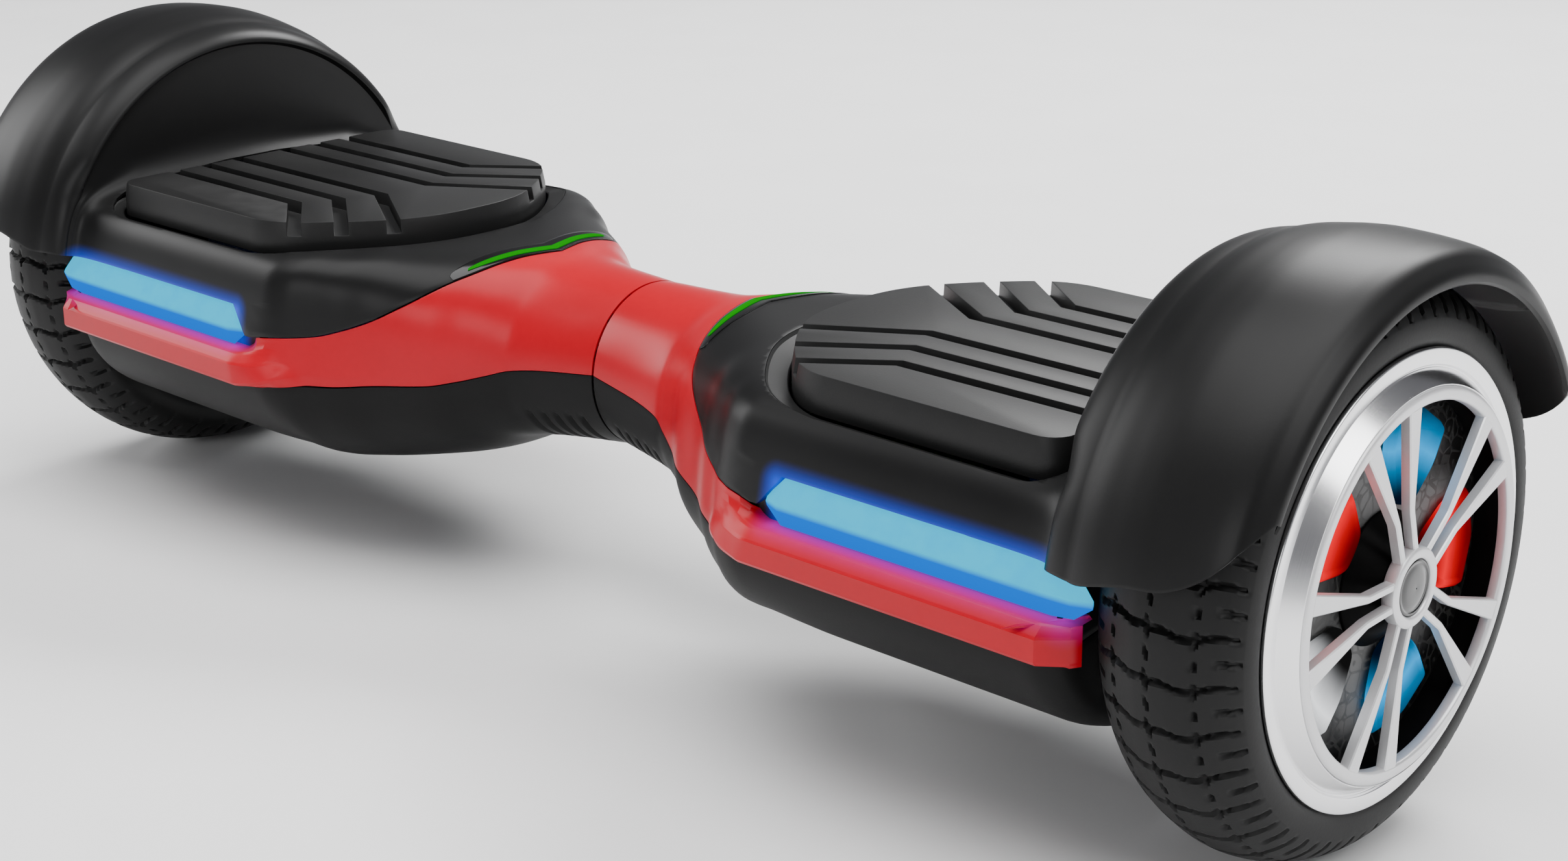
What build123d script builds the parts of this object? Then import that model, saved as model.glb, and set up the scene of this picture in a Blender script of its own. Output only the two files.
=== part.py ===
from build123d import *

import os
from math import cos, pi, radians, sin

# A two-wheeled self balancing board, in millimetres. +X runs along the axles to the right
# wheel, +Y to the rear, +Z up. Heights here are measured from the axle; every piece is
# lifted by the wheel's radius when it is written, so that the origin is on the ground,
# midway between the wheels. Both halves are the same mouldings: the left one is the right
# one turned half round about Z.

# ---- overall sizes ----
TYRE_R = 82.5            # 6.5 inch wheel
TYRE_WIDTH = 43.0
WHEEL_X = 259.5          # middle of the tyre from the middle of the board
BODY_START = 0.5         # half of the gap at the twist joint
BODY_GAP = 8.0           # between the body's end wall and the tyre
BODY_END = WHEEL_X - TYRE_WIDTH / 2 - BODY_GAP
WALL = 3.0

# ---- fender over the wheel ----
FENDER_CLEAR = 6.8       # from the tyre's crown to the inside of the fender
FENDER_R = TYRE_R + FENDER_CLEAR + WALL
FENDER_OUT_X = WHEEL_X + TYRE_WIDTH / 2 + 9
LIP_R = FENDER_R - 10.7  # edge of the outboard opening
ARCH_R = FENDER_R - 6.3  # top of the flat wall on the body's side
FENDER_ROOT = 10.5       # lower edge beside the body, front and rear
FENDER_LOW = 19.5        # lower edge over the tyre
FENDER_TIP = 40.0        # where that edge meets the outboard lip

# ---- foot pad ----
PAD_TOP = 40.5
PAD_T = 11.4
PAD_BOTTOM = PAD_TOP - PAD_T
PAD_HALF = 65.0          # half of its depth
PAD_IN_X = 88.0
PAD_OUT_X = BODY_END - 12
PAD_TRAVEL = 1.5
PAD_CLEAR = 0.6
POCKET_FLOOR = PAD_BOTTOM - PAD_TRAVEL - 0.4
PAD_NOSE = ((36, 1.0), (18, 0.72), (5, 0.44), (0, 0.2))  # in from the nose, share of the half depth
GROOVE_W = 5.0
GROOVE_D = 4.5
GROOVES = ((11.0, 41.0), (25.5, 47.0), (39.5, 54.0))  # from the middle, and where it bends, in from the nose
GROOVE_RUN = (50.0, 34.0)  # from the bend out past the nose, along X and across
POST_R = 3.0
POST_LENGTH = 9.0
POST_X = (PAD_IN_X + 25, PAD_OUT_X - 23)
POST_Y = (27 - PAD_HALF, PAD_HALF - 27)

# ---- light bar and bumper, front and rear ----
LIGHT_BACK = 66.0
LIGHT_FACE = 78.5
LIGHT_TOP = 12.1
LIGHT_LOW = -1.5
LIGHT_IN_X = 124.5
LIGHT_OUT_X = BODY_END - 1
LIGHT_POINT = 6.5        # length of each pointed end
BUMPER_IN_X = 113.0
BUMPER_OUT_X = BODY_END - 2.5
BUMPER_FACE = 85.2
BUMPER_LOW = -12.5

# ---- wheel and hub motor ----
RIM_R = TYRE_R - 20.5    # tyre seat
FLANGE_R = RIM_R + 1.2
RIM_WIDTH = TYRE_WIDTH - 2.0
RIM_T = 12.0
MOTOR_R = RIM_R - RIM_T  # inside of the rim
MAGNET_T = 3.0
MAGNET_COUNT = 30
MAGNET_GAP = 1.7
AIR_GAP = 0.8
STATOR_WIDTH = 16.0
STATOR_X = WHEEL_X - 3.5 # middle of the stator and the magnets
SLOT_COUNT = 27
SLOT_FLOOR_R = 28.0
AXLE_R = 7.5
AXLE_FIT = 0.05          # radial running clearance in the bearings
AXLE_IN_X = BODY_END - 54
BEARING_R = AXLE_R + 8.5
BEARING_WIDTH = 8.0
COVER_T = 3.0
DRUM_R = MOTOR_R + 4.5   # wall that carries the spoked cover
DRUM_T = 1.5
DRUM_OUT = 3.5           # how far that wall stands out past the tyre
FACE_RING_R = DRUM_R - 1
WINDOW_R = DRUM_R - 4.5
SPOKE_PAIRS = 5
SPOKE_START = 36.3       # angle of the first pair from +Y
SPOKE_T = 2.4
HUB_R = 11.0
HUB_BORE_R = 7.0
LENS_IN_R = 20.0
LENS_OUT_R = WINDOW_R - 4
LENS_T = 3.0
LED_BOARD_T = 1.6

# ---- chassis and twist joint ----
PIVOT = 1.5              # height of the twist axis
TUBE_R = 17.0
TUBE_WALL = 3.0
TUBE_HALF = 52.0
TUBE_FIT = 0.05
BUSH_T = 1.5
SLEEVE_R = TUBE_R + BUSH_T + 3.5
SLEEVE_START = 3.0
SLEEVE_END = 47.0
RING_T = 2.0             # retaining ring
PLATE = -14.5            # underside of the chassis plate
PLATE_T = 6.0
PLATE_HALF = 42.0
RAIL_TOP = 5.5
RAIL_T = 4.0
CRADLE = PIVOT - SLEEVE_R - 4  # underside of the cradle below the sleeve
CHASSIS_END = BODY_END - WALL - 3
BLOCK_HALF = 22.0        # half depth of the axle block
SCREW_R = 2.0
SCREW_HEAD_R = 3.6
SCREW_SEAT = -30.5       # where the heads seat inside their pillars
BOLT_R = 2.5
BOLT_HEAD_R = 4.5
TWIST = 15.0             # degrees each way
STOP_ANGLE = 12.0        # half width of the stop lug
LOOM_R = 4.5

# ---- battery and control board, under the chassis plate ----
BATTERY_TOP = PLATE - 2
BATTERY_T = 26.0
BATTERY_HALF = 29.0
BOARD_T = 1.6

# ---- charge port and power button, on the rear ----
PORT_X = 165.0
PORT_HEIGHT = -26.5
PORT_FACE = 75.0
PORT_R = 10.0
PORT_DEPTH = 16.0
PORT_BORE_R = PORT_R - 3
PORT_BORE_DEPTH = 12.0
CAP_T = 2.0
CAP_GAP = 0.3
HINGE_R = 1.2            # flap pin
HINGE_FIT = 0.05
HINGE_HEIGHT = PORT_HEIGHT + PORT_R + HINGE_R + 0.7
HINGE_Y = PORT_FACE + CAP_GAP + CAP_T / 2
EAR_TOP = HINGE_HEIGHT + HINGE_R + 0.6
EAR_IN = 4.0             # inner and outer faces of the hinge ears from the port's middle
EAR_OUT = 7.5
BUTTON_R = PORT_R - 4
BUTTON_CLEAR = 0.35
BUTTON_TRAVEL = 1.5
BUTTON_PROUD = 1.8
LARGE = 150.0            # beyond the body on any side, for the solids that divide it

# Body sections along X: half-outline from the top centre to the bottom centre, (y, z).
SECTIONS = {
    BODY_START: [(0, 29.5), (12, 26.5), (25, 14.5), (28, 1.5), (25, -10.5), (18, -20), (9, -25.1), (0, -26.5)],
    35.0: [(0, 30.5), (15, 29), (29, 17.5), (34, 1.5), (31, -12.5), (22, -25.5), (11, -29.5), (0, -30.5)],
    47.0: [(0, 32.1), (19, 30.5), (35, 16.5), (40, -1.5), (36, -16.5), (27, -29.5), (14, -33.5), (0, -34)],
    60.0: [(0, 33.1), (28, 31.5), (43, 15.5), (49, -4.5), (45, -21.5), (35, -33.5), (18, -37), (0, -37.5)],
    80.0: [(0, 33.5), (47, 32), (57, 14.5), (61, -9.5), (56, -26.5), (45, -38.5), (24, -43), (0, -43.5)],
    97.0: [(0, 33.5), (61, 32), (69, 13.5), (73, -10.5), (67, -27.5), (53, -39.5), (30, -46), (0, -46.5)],
    114.0: [(0, 33.5), (68, 32), (76, 12.5), (79.5, -11.5), (74, -26.5), (59, -39.5), (34, -48.5), (0, -49.5)],
    BODY_END: [(0, 33.5), (70, 32), (77, 12.5), (80.5, -11.5), (75, -27.5), (60, -40.5), (36, -50), (0, -51.5)],
}

# Lower edge of the top shell and upper edge of the bottom shell, (x, z) seen from the front.
TOP_EDGE = [(45, 37.5), (45, 31.5), (51.4, 29), (60.9, 23.3), (72.4, 16.6), (80.3, 12.3),
            (89.2, 8.4), (98, 6.1), (106.5, 5.3), (114.4, 4.5), (120, 2)]
BOTTOM_EDGE = [(0, 3.5), (35.1, -1.1), (43.4, -3.7), (52.4, -6.6), (59.9, -8.4), (80, -10.1)]


def section_face(x, points, inset=0.0):
    """One closed body section at station x, shrunk by inset."""
    loop = points + [(-y, z) for y, z in reversed(points[1:-1])]
    face = make_face(Plane.YZ.offset(x) * Polyline(*loop, close=True))
    if inset:
        face = offset(face, -inset, kind=Kind.INTERSECTION)
    return face


def upright(radius, x, y, z0, z1):
    """A vertical cylinder between two heights."""
    return Pos(x, y, (z0 + z1) / 2) * Cylinder(radius, z1 - z0)


def x_cylinder(radius, x0, x1, z=0.0, y=0.0):
    """A cylinder along X between two stations."""
    return Pos((x0 + x1) / 2, y, z) * Rot(0, 90, 0) * Cylinder(radius, x1 - x0)


def y_cylinder(radius, y0, y1, x, z):
    """A cylinder along Y between two depths."""
    return Pos(x, (y0 + y1) / 2, z) * Rot(90, 0, 0) * Cylinder(radius, y1 - y0)


def block(x0, x1, y0, y1, z0, z1):
    """A box between two corners."""
    return Pos((x0 + x1) / 2, (y0 + y1) / 2, (z0 + z1) / 2) * Box(x1 - x0, y1 - y0, z1 - z0)


def plate_yz(points, x0, thickness):
    """A flat plate across the axle direction from (y, z) points."""
    face = make_face(Plane.YZ.offset(x0) * Polyline(*points, close=True))
    return extrude(face, thickness, dir=(1, 0, 0))


def ring(points):
    """A solid of revolution about the axle from (x, radius) points."""
    return revolve(make_face(Polyline(*[(x, 0, r) for x, r in points], close=True)), Axis.X, 360)


def across(points, half=LARGE):
    """A prism along Y, from the front to the rear, over an outline given as (x, z)."""
    face = make_face(Polyline(*[(x, -half, z) for x, z in points], close=True))
    return extrude(face, 2 * half, dir=(0, 1, 0))


def turned(shape):
    """The same piece on the left half."""
    return Rot(0, 0, 180) * shape


def body_solid(inset=0.0):
    """The body of one half; an inset makes the hollow inside its wall."""
    xs = list(SECTIONS)
    wires = []
    for x in xs:
        station = x
        if inset and x == xs[0]:
            station = x - 1.0
        if inset and x == xs[-1]:
            station = x - inset
        wires.append(section_face(station, SECTIONS[x], inset).face().outer_wire())
    return Solid.make_loft(wires, ruled=True)


def body_wall():
    """The hollow body before it is divided into its mouldings."""
    return body_solid() - body_solid(WALL)


def above_top_edge():
    """The space above the lower edge of the top shell."""
    far = BODY_END + LARGE
    return across(TOP_EDGE + [(LIGHT_IN_X, LIGHT_LOW), (far, LIGHT_LOW), (far, LARGE), (45, LARGE)])


def below_bottom_edge():
    """The space under the upper edge of the bottom shell."""
    far = BODY_END + LARGE
    return across(BOTTOM_EDGE + [(BUMPER_IN_X, BUMPER_LOW), (far, BUMPER_LOW), (far, -LARGE), (0, -LARGE)])


def fender():
    """The arch over the wheel, cut off at its lower edge and closed on the body's side."""
    inside = FENDER_R - WALL
    outer = [(BODY_END - WALL, 30), (BODY_END - WALL, ARCH_R - 3), (BODY_END, ARCH_R),
             (BODY_END + 7, FENDER_R - 2.4), (BODY_END + 15, FENDER_R - 0.4),
             (WHEEL_X, FENDER_R), (FENDER_OUT_X - 12, FENDER_R - 0.8), (FENDER_OUT_X - 4.8, FENDER_R - 2.4),
             (FENDER_OUT_X - 0.4, FENDER_R - 7.4), (FENDER_OUT_X, LIP_R + 1)]
    inner = [(FENDER_OUT_X - 1, LIP_R), (FENDER_OUT_X - 3.2, LIP_R + 0.8),
             (FENDER_OUT_X - 6.5, inside - 2.2), (FENDER_OUT_X - 13, inside - 0.8),
             (WHEEL_X, inside), (BODY_END + 13, inside - 0.8),
             (BODY_END + 5, inside - 3), (BODY_END + 1, ARCH_R - WALL),
             (BODY_END, ARCH_R - WALL - 2), (BODY_END, 30)]
    keep = across([(BODY_END - WALL, FENDER_ROOT), (BODY_END + 5, FENDER_ROOT + 1),
                   (WHEEL_X, FENDER_LOW), (FENDER_OUT_X - 18, FENDER_LOW + 2.5),
                   (FENDER_OUT_X - 11, FENDER_LOW + 7), (FENDER_OUT_X - 6, FENDER_LOW + 12),
                   (FENDER_OUT_X - 2, FENDER_TIP - 3), (FENDER_OUT_X + 1, FENDER_TIP + 1),
                   (FENDER_OUT_X + 1, LARGE), (BODY_END - WALL, LARGE)])
    return ring(outer + inner) & keep


def pad_outline(clear=0.0):
    """The foot pad seen from above, with a taper towards the twist joint."""
    half = PAD_HALF + clear
    rear = [(PAD_IN_X - clear + along, half * share) for along, share in PAD_NOSE]
    front = [(x, -y) for x, y in reversed(rear)]
    outer = PAD_OUT_X + clear
    return Polyline((outer, half), *rear, *front, (outer, -half), close=True)


def pad_prism(z0, z1, clear=0.0):
    """The foot pad's outline between two heights."""
    return extrude(Pos(0, 0, z0) * make_face(pad_outline(clear)), z1 - z0)


def light_outline():
    """The front outline of a light bar, pointed at both ends."""
    mid = (LIGHT_TOP + LIGHT_LOW) / 2
    inner, outer = LIGHT_IN_X + LIGHT_POINT, LIGHT_OUT_X - LIGHT_POINT
    return [(LIGHT_IN_X, mid), (inner, LIGHT_TOP), (outer, LIGHT_TOP),
            (LIGHT_OUT_X, mid), (outer, LIGHT_LOW), (inner, LIGHT_LOW)]


def light_bar(side):
    """One light bar; side is -1 at the front and 1 at the rear."""
    face = make_face(Polyline(*[(x, side * LIGHT_BACK, z) for x, z in light_outline()], close=True))
    return extrude(face, LIGHT_FACE - LIGHT_BACK, dir=(0, side, 0))


def light_slots():
    """The pockets that both light bars sit in."""
    return across(light_outline()) - across(light_outline(), LIGHT_BACK)


def bumper(side):
    """The raised strip of the trim below a light bar."""
    points = [(LIGHT_BACK, LIGHT_LOW), (BUMPER_FACE - 3, LIGHT_LOW), (BUMPER_FACE, LIGHT_LOW - 4),
              (BUMPER_FACE, BUMPER_LOW), (LIGHT_BACK, BUMPER_LOW)]
    strip = plate_yz([(side * y, z) for y, z in points], BUMPER_IN_X, BUMPER_OUT_X - BUMPER_IN_X)
    corner = [(BUMPER_IN_X - 1, side * (BUMPER_FACE - 7)), (BUMPER_IN_X + 8, side * (BUMPER_FACE + 1)),
              (BUMPER_IN_X - 1, side * (BUMPER_FACE + 1))]
    cut = extrude(Pos(0, 0, BUMPER_LOW - 1) * make_face(Polyline(*corner, close=True)), 20)
    return strip - cut - body_solid(WALL)


def status_light():
    """The green light pipe let into the top shell beside the trim."""
    band = across([(48, LARGE), (48, 31.5), (62, 24.1), (63.6, 25.9), (51.5, 33), (51.5, LARGE)])
    return band & (body_solid() - body_solid(WALL - 1))


def axle_hole():
    """Way through the body's end wall for the axle and the motor leads."""
    return x_cylinder(AXLE_R + 4, BODY_END - 2 * WALL, BODY_END + 2)


def screw_places():
    """Plan positions of the screws that join the bottom shell to the chassis."""
    return [(x, y) for x, y in ((100, 34), (BODY_END - 25, 40)) for y in (-y, y)]


def top_shell():
    """Black top moulding: deck, pad pocket, fender and light slots."""
    shell = (body_wall() & above_top_edge()) + fender()
    shell += pad_prism(POCKET_FLOOR - WALL, PAD_TOP - 9, PAD_CLEAR + WALL) & body_solid()
    shell -= pad_prism(POCKET_FLOOR, PAD_TOP + 1, PAD_CLEAR)
    for x in POST_X:
        for y in POST_Y:
            shell -= upright(POST_R + PAD_CLEAR, x, y, POCKET_FLOOR - 2 * WALL, POCKET_FLOOR + 1)
    return shell - light_slots() - status_light() - axle_hole()


def side_trim():
    """Red moulding: the neck's upper half, the band along both sides and the bumpers."""
    band = body_wall() - above_top_edge() - below_bottom_edge()
    return band + bumper(-1) + bumper(1) - light_slots() - axle_hole()


def bottom_shell(port):
    """Black bottom moulding with its screw pillars, cut for a rear port."""
    low = SECTIONS[BODY_END][-1][1] - 1
    shell = (body_wall() & below_bottom_edge()) - axle_hole() - port
    for x, y in screw_places():
        shell += upright(SCREW_R + 3, x, y, low, PLATE) & body_solid()
        shell -= upright(SCREW_HEAD_R + 0.4, x, y, low, SCREW_SEAT)
        shell -= upright(SCREW_R, x, y, low, PLATE + 1)
    return shell


def port_space(x=PORT_X):
    """The round hole in the rear wall that a port or a button is fitted in."""
    return y_cylinder(PORT_R, PORT_FACE - PORT_DEPTH, PORT_FACE + 5, x, PORT_HEIGHT)


def hinge_space():
    """The notch above the charge port for the flap's hinge."""
    side = EAR_OUT + 0.4
    return block(PORT_X - side, PORT_X + side, PORT_FACE - 9, PORT_FACE + 15, PORT_HEIGHT, EAR_TOP + 1)


def chassis(fixed):
    """Cast aluminium frame: sleeve, cradle, plate, rails and axle block.

    The fixed half grips the tube and has the stop lug; the other turns on a bush and has its notch.
    """
    frame = x_cylinder(SLEEVE_R, SLEEVE_START, SLEEVE_END, PIVOT)
    frame += block(SLEEVE_END - 9, 90, -15, 15, CRADLE, PLATE + PLATE_T)
    frame += block(76, CHASSIS_END, -PLATE_HALF, PLATE_HALF, PLATE, PLATE + PLATE_T)
    for y in (-PLATE_HALF, PLATE_HALF - RAIL_T):
        frame += block(82, CHASSIS_END, y, y + RAIL_T, PLATE, RAIL_TOP)
    frame += block(AXLE_IN_X, CHASSIS_END, -BLOCK_HALF, BLOCK_HALF, PLATE, -0.2)
    frame -= x_cylinder(AXLE_R, AXLE_IN_X - 1, BODY_END)
    frame -= x_cylinder(TUBE_R if fixed else TUBE_R + BUSH_T, SLEEVE_START - 1, SLEEVE_END, PIVOT)
    frame -= x_cylinder(SLEEVE_R, SLEEVE_END, TUBE_HALF + 12, PIVOT)
    for x, y in bolt_places():
        frame -= upright(BOLT_R, x, y, -9, 0)
    for x, y in screw_places():
        frame -= upright(SCREW_R, x, y, PLATE - 1, PLATE + 5)
    if fixed:
        return frame + stop_sector(STOP_ANGLE, -SLEEVE_START - 2, SLEEVE_START)
    return frame - stop_sector(STOP_ANGLE + TWIST + 1, SLEEVE_START, SLEEVE_START + 4)


def stop_sector(angle, x0, x1):
    """The ring sector at the top of the sleeve that limits the twist."""
    sector = x_cylinder(SLEEVE_R, x0, x1, PIVOT) - x_cylinder(TUBE_R + BUSH_T, x0, x1, PIVOT)
    side = 2 * SLEEVE_R * sin(radians(angle))
    top = PIVOT + 2 * SLEEVE_R * cos(radians(angle))
    return sector & plate_yz([(0, PIVOT), (side, top), (-side, top)], x0, x1 - x0)


def bolt_places():
    """Plan positions of the four bolts that hold the axle clamp."""
    side = (AXLE_R + BLOCK_HALF) / 2 + 1.25
    return [(x, y) for x in (AXLE_IN_X + 8, CHASSIS_END - 8) for y in (-side, side)]


def clamp_top():
    """Upper face of the axle clamp."""
    return AXLE_R + 4


def axle_clamp():
    """Cap plate over the axle."""
    cap = block(AXLE_IN_X, CHASSIS_END, -BLOCK_HALF, BLOCK_HALF, 0.2, clamp_top())
    cap -= x_cylinder(AXLE_R, AXLE_IN_X - 1, BODY_END)
    for x, y in bolt_places():
        cap -= upright(BOLT_R, x, y, 0, clamp_top() + 1)
    return cap


def clamp_bolts():
    """Four cap screws through the clamp into the axle block."""
    top = clamp_top()
    return [upright(BOLT_HEAD_R, x, y, top, top + 4) + upright(BOLT_R, x, y, -8, top)
            for x, y in bolt_places()]


def shell_screws():
    """Screws from below that hold the bottom shell to the chassis."""
    return [upright(SCREW_HEAD_R, x, y, SCREW_SEAT - 3, SCREW_SEAT) + upright(SCREW_R, x, y, SCREW_SEAT, PLATE + 4)
            for x, y in screw_places()]


def foot_pad():
    """Rubber foot pad with moulded grooves and the four posts that reach the switches."""
    pad = pad_prism(PAD_BOTTOM, PAD_TOP)
    along, across = GROOVE_RUN
    for y, bend in GROOVES:
        x = PAD_IN_X + bend
        for side in (-1, 1):
            pad -= groove([(x - along, side * (y + across)), (x, side * y), (PAD_OUT_X + GROOVE_W, side * y)])
    for x in POST_X:
        for y in POST_Y:
            pad += upright(POST_R, x, y, PAD_BOTTOM - POST_LENGTH, PAD_BOTTOM + 1)
    return pad


def groove(run):
    """A groove of constant width along a run, cut from the top of the pad."""
    strips = []
    for edge in Polyline(*run).edges():
        middle = edge @ 0.5
        strip = Box(edge.length + GROOVE_W, GROOVE_W, 2 * GROOVE_D)
        strips.append(Pos(middle.X, middle.Y, PAD_TOP) * Rot(0, 0, edge.tangent_angle_at(0)) * strip)
    return strips


def sensor_board():
    """Foot switch and gyro board under the pad, on standoffs from the rails."""
    top = PAD_BOTTOM - POST_LENGTH - PAD_TRAVEL - 0.5
    x0, x1 = PAD_IN_X + 14, PAD_IN_X + 82
    switch_x = POST_X[0]
    board = block(x0, x1, -46, 46, top - 5, top - 5 + BOARD_T)
    for x in (x0 + 4, x1 - 6):
        for y in (RAIL_T / 2 - PLATE_HALF, PLATE_HALF - RAIL_T / 2):
            board += upright(2, x, y, RAIL_TOP, top - 5)
    for y in POST_Y:
        board += block(switch_x - 5, switch_x + 5, y - 5, y + 5, top - 5 + BOARD_T, top)
    return board + block(x0 + 30, x0 + 46, -8, 8, top - 5 + BOARD_T, top - 1)


def tyre():
    """Solid rubber tyre with a rounded crown."""
    half = TYRE_WIDTH / 2
    crown = [(half - 3, RIM_R), (half, FLANGE_R + 1.5), (half, TYRE_R - 10.5), (half - 3.5, TYRE_R - 5.5),
             (half - 8, TYRE_R - 2.4), (half - 14, TYRE_R - 0.6), (0, TYRE_R)]
    left = [(-x, r) for x, r in reversed(crown[:-1])]
    return ring([(WHEEL_X + x, r) for x, r in crown + left])


def rim():
    """Cast rim of the hub motor: tyre seat, outboard web and the wall for the spoked cover."""
    start, out = WHEEL_X - RIM_WIDTH / 2, WHEEL_X + RIM_WIDTH / 2
    seat = TYRE_WIDTH / 2 - 3
    face = WHEEL_X + TYRE_WIDTH / 2
    web, back = web_face(), web_face() - COVER_T
    boss = web - BEARING_WIDTH - 1
    gap_r = FLANGE_R - 5.7
    return ring([(start, MOTOR_R), (start, RIM_R - 1), (WHEEL_X - seat, RIM_R), (WHEEL_X + seat, RIM_R),
                 (face, FLANGE_R), (face + 0.4, gap_r), (out - 2, gap_r), (out - 2, DRUM_R),
                 (face_x(), DRUM_R), (face_x(), DRUM_R - DRUM_T), (web, DRUM_R - DRUM_T), (web, BEARING_R),
                 (boss, BEARING_R), (boss, BEARING_R + 4), (back, BEARING_R + 4), (back, MOTOR_R)])


def web_face():
    """Outboard face of the rim's web, which the lamp board lies on."""
    return WHEEL_X + RIM_WIDTH / 2 - 6


def face_x():
    """Outboard edge of the rim's wall, where the spoked cover sits."""
    return WHEEL_X + TYRE_WIDTH / 2 + DRUM_OUT


def inner_cover():
    """Side plate of the motor on the body's side."""
    x = WHEEL_X - RIM_WIDTH / 2
    edge = MOTOR_R - 0.05
    return ring([(x, BEARING_R), (x, edge), (x + COVER_T, edge), (x + COVER_T, BEARING_R + 4),
                 (x + BEARING_WIDTH, BEARING_R + 4), (x + BEARING_WIDTH, BEARING_R)])


def wheel_bearings():
    """Two ball bearings, drawn as closed rings that run on the axle."""
    r = AXLE_R + AXLE_FIT
    return [ring([(x, r), (x, BEARING_R), (x + BEARING_WIDTH, BEARING_R), (x + BEARING_WIDTH, r)])
            for x in (WHEEL_X - RIM_WIDTH / 2, web_face() - BEARING_WIDTH)]


def magnets():
    """Rotor magnets bonded inside the rim."""
    x0, x1 = STATOR_X - STATOR_WIDTH / 2 - 0.5, STATOR_X + STATOR_WIDTH / 2 + 0.5
    band = x_cylinder(MOTOR_R, x0, x1) - x_cylinder(MOTOR_R - MAGNET_T, x0, x1)
    side = (2 * pi * MOTOR_R / MAGNET_COUNT - MAGNET_GAP) / 2
    bar = band & block(x0, x1, -side, side, 0, MOTOR_R + 1)
    return [Rot(360 / MAGNET_COUNT * k, 0, 0) * bar for k in range(MAGNET_COUNT)]


def stator():
    """Wound stator keyed on the fixed axle, drawn with its slots."""
    radius = MOTOR_R - MAGNET_T - AIR_GAP
    x0, x1 = STATOR_X - STATOR_WIDTH / 2, STATOR_X + STATOR_WIDTH / 2
    core = x_cylinder(radius, x0, x1) - x_cylinder(AXLE_R, x0, x1)
    slot = block(x0 - 1, x1 + 1, -1.2, 1.2, SLOT_FLOOR_R, radius + 1)
    for k in range(SLOT_COUNT):
        core -= Rot(360 / SLOT_COUNT * k, 0, 0) * slot
    return core


def axle():
    """Fixed axle, clamped in the chassis and carrying the motor."""
    return x_cylinder(AXLE_R, AXLE_IN_X, web_face() + 1)


def spoke_cover():
    """Spoked wheel cover: rim ring, five pairs of split spokes and the hub ring."""
    x0 = face_x()
    cover = ring([(x0, WINDOW_R - 0.5), (x0, DRUM_R), (x0 + 1.2, DRUM_R - 0.6), (x0 + 1.2, WINDOW_R)])
    cover += ring([(x0 - 2, HUB_BORE_R), (x0 - 2, HUB_R), (x0 + 1.8, HUB_R),
                   (x0 + 2.6, HUB_R - 1), (x0 + 2.6, HUB_BORE_R)])
    for k in range(SPOKE_PAIRS):
        for side in (-1, 1):
            cover += Rot(SPOKE_START + 360 / SPOKE_PAIRS * k - 90, 0, 0) * spoke(side)
    return cover


def spoke(side):
    """One half of a split spoke, drawn pointing up: a thin bar that widens into a blade."""
    reach = (WINDOW_R + DRUM_R - DRUM_T) / 2
    tip = [(side * reach * sin(radians(a)), reach * cos(radians(a))) for a in (8.0, 15.2)]
    knee = 2 * HUB_R
    outline = [(side * 2.3, HUB_R - 1.5), (side * 2.3, knee), tip[0], tip[1],
               (side * 4.8, knee + 0.7), (side * 4.8, HUB_R - 2.5)]
    return plate_yz(outline, face_x() - SPOKE_T / 2, SPOKE_T)


def hub_cap():
    """Plain round cap in the hub ring."""
    x0, r = face_x(), HUB_BORE_R - 0.1
    return ring([(x0 - 1.5, 0), (x0 - 1.5, r), (x0 + 1.6, r), (x0 + 2.4, r - 0.9), (x0 + 2.4, 0)])


def led_board():
    """Round lamp board behind the spokes."""
    x0, x1 = web_face(), web_face() + LED_BOARD_T
    inner, outer = BEARING_R + 2, DRUM_R - DRUM_T - 0.2
    return ring([(x0, inner), (x0, outer), (x1, outer), (x1, inner)])


def lens(angle):
    """A notched wedge that spreads the light of one lamp; angle from +Y."""
    outline = [(-2, LENS_IN_R), (-8.5, LENS_OUT_R - 5), (-6, LENS_OUT_R), (0, LENS_OUT_R - 5),
               (6, LENS_OUT_R), (8.5, LENS_OUT_R - 5), (2, LENS_IN_R)]
    return Rot(angle - 90, 0, 0) * plate_yz(outline, web_face() + LED_BOARD_T, LENS_T)


def pivot_tube():
    """Steel tube that joins the halves and carries the wires."""
    bore = x_cylinder(TUBE_R - TUBE_WALL, -TUBE_HALF, TUBE_HALF, PIVOT)
    return x_cylinder(TUBE_R, -TUBE_HALF, TUBE_HALF, PIVOT) - bore


def pivot_bush():
    """Plain bearing in the turning half's sleeve."""
    bore = x_cylinder(TUBE_R + TUBE_FIT, SLEEVE_START, SLEEVE_END, PIVOT)
    return x_cylinder(TUBE_R + BUSH_T, SLEEVE_START, SLEEVE_END, PIVOT) - bore


def pivot_ring():
    """Retaining ring on the tube, just past the turning half's sleeve."""
    start, end = SLEEVE_END + 0.5, SLEEVE_END + 0.5 + RING_T
    return x_cylinder(TUBE_R + 3, start, end, PIVOT) - x_cylinder(TUBE_R, start, end, PIVOT)


def battery():
    """Flat lithium pack hung under the chassis plate."""
    return block(104, 200, -BATTERY_HALF, BATTERY_HALF, BATTERY_TOP - BATTERY_T, BATTERY_TOP)


def control_board():
    """Main motor control board with its heat sink and capacitors."""
    low = PLATE - 8
    board = block(110, 190, -28, 28, low, low + BOARD_T)
    board += block(118, 182, -12, 12, low + BOARD_T, PLATE)
    for x in (126, 146, 166):
        board += block(x, x + 10, 14, 24, low - 12, low)
    return board


def wire_loom():
    """Bundle of wires through the pivot tube, from one half to the other."""
    return x_cylinder(LOOM_R, -TUBE_HALF - 16, TUBE_HALF + 16, PIVOT)


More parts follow.
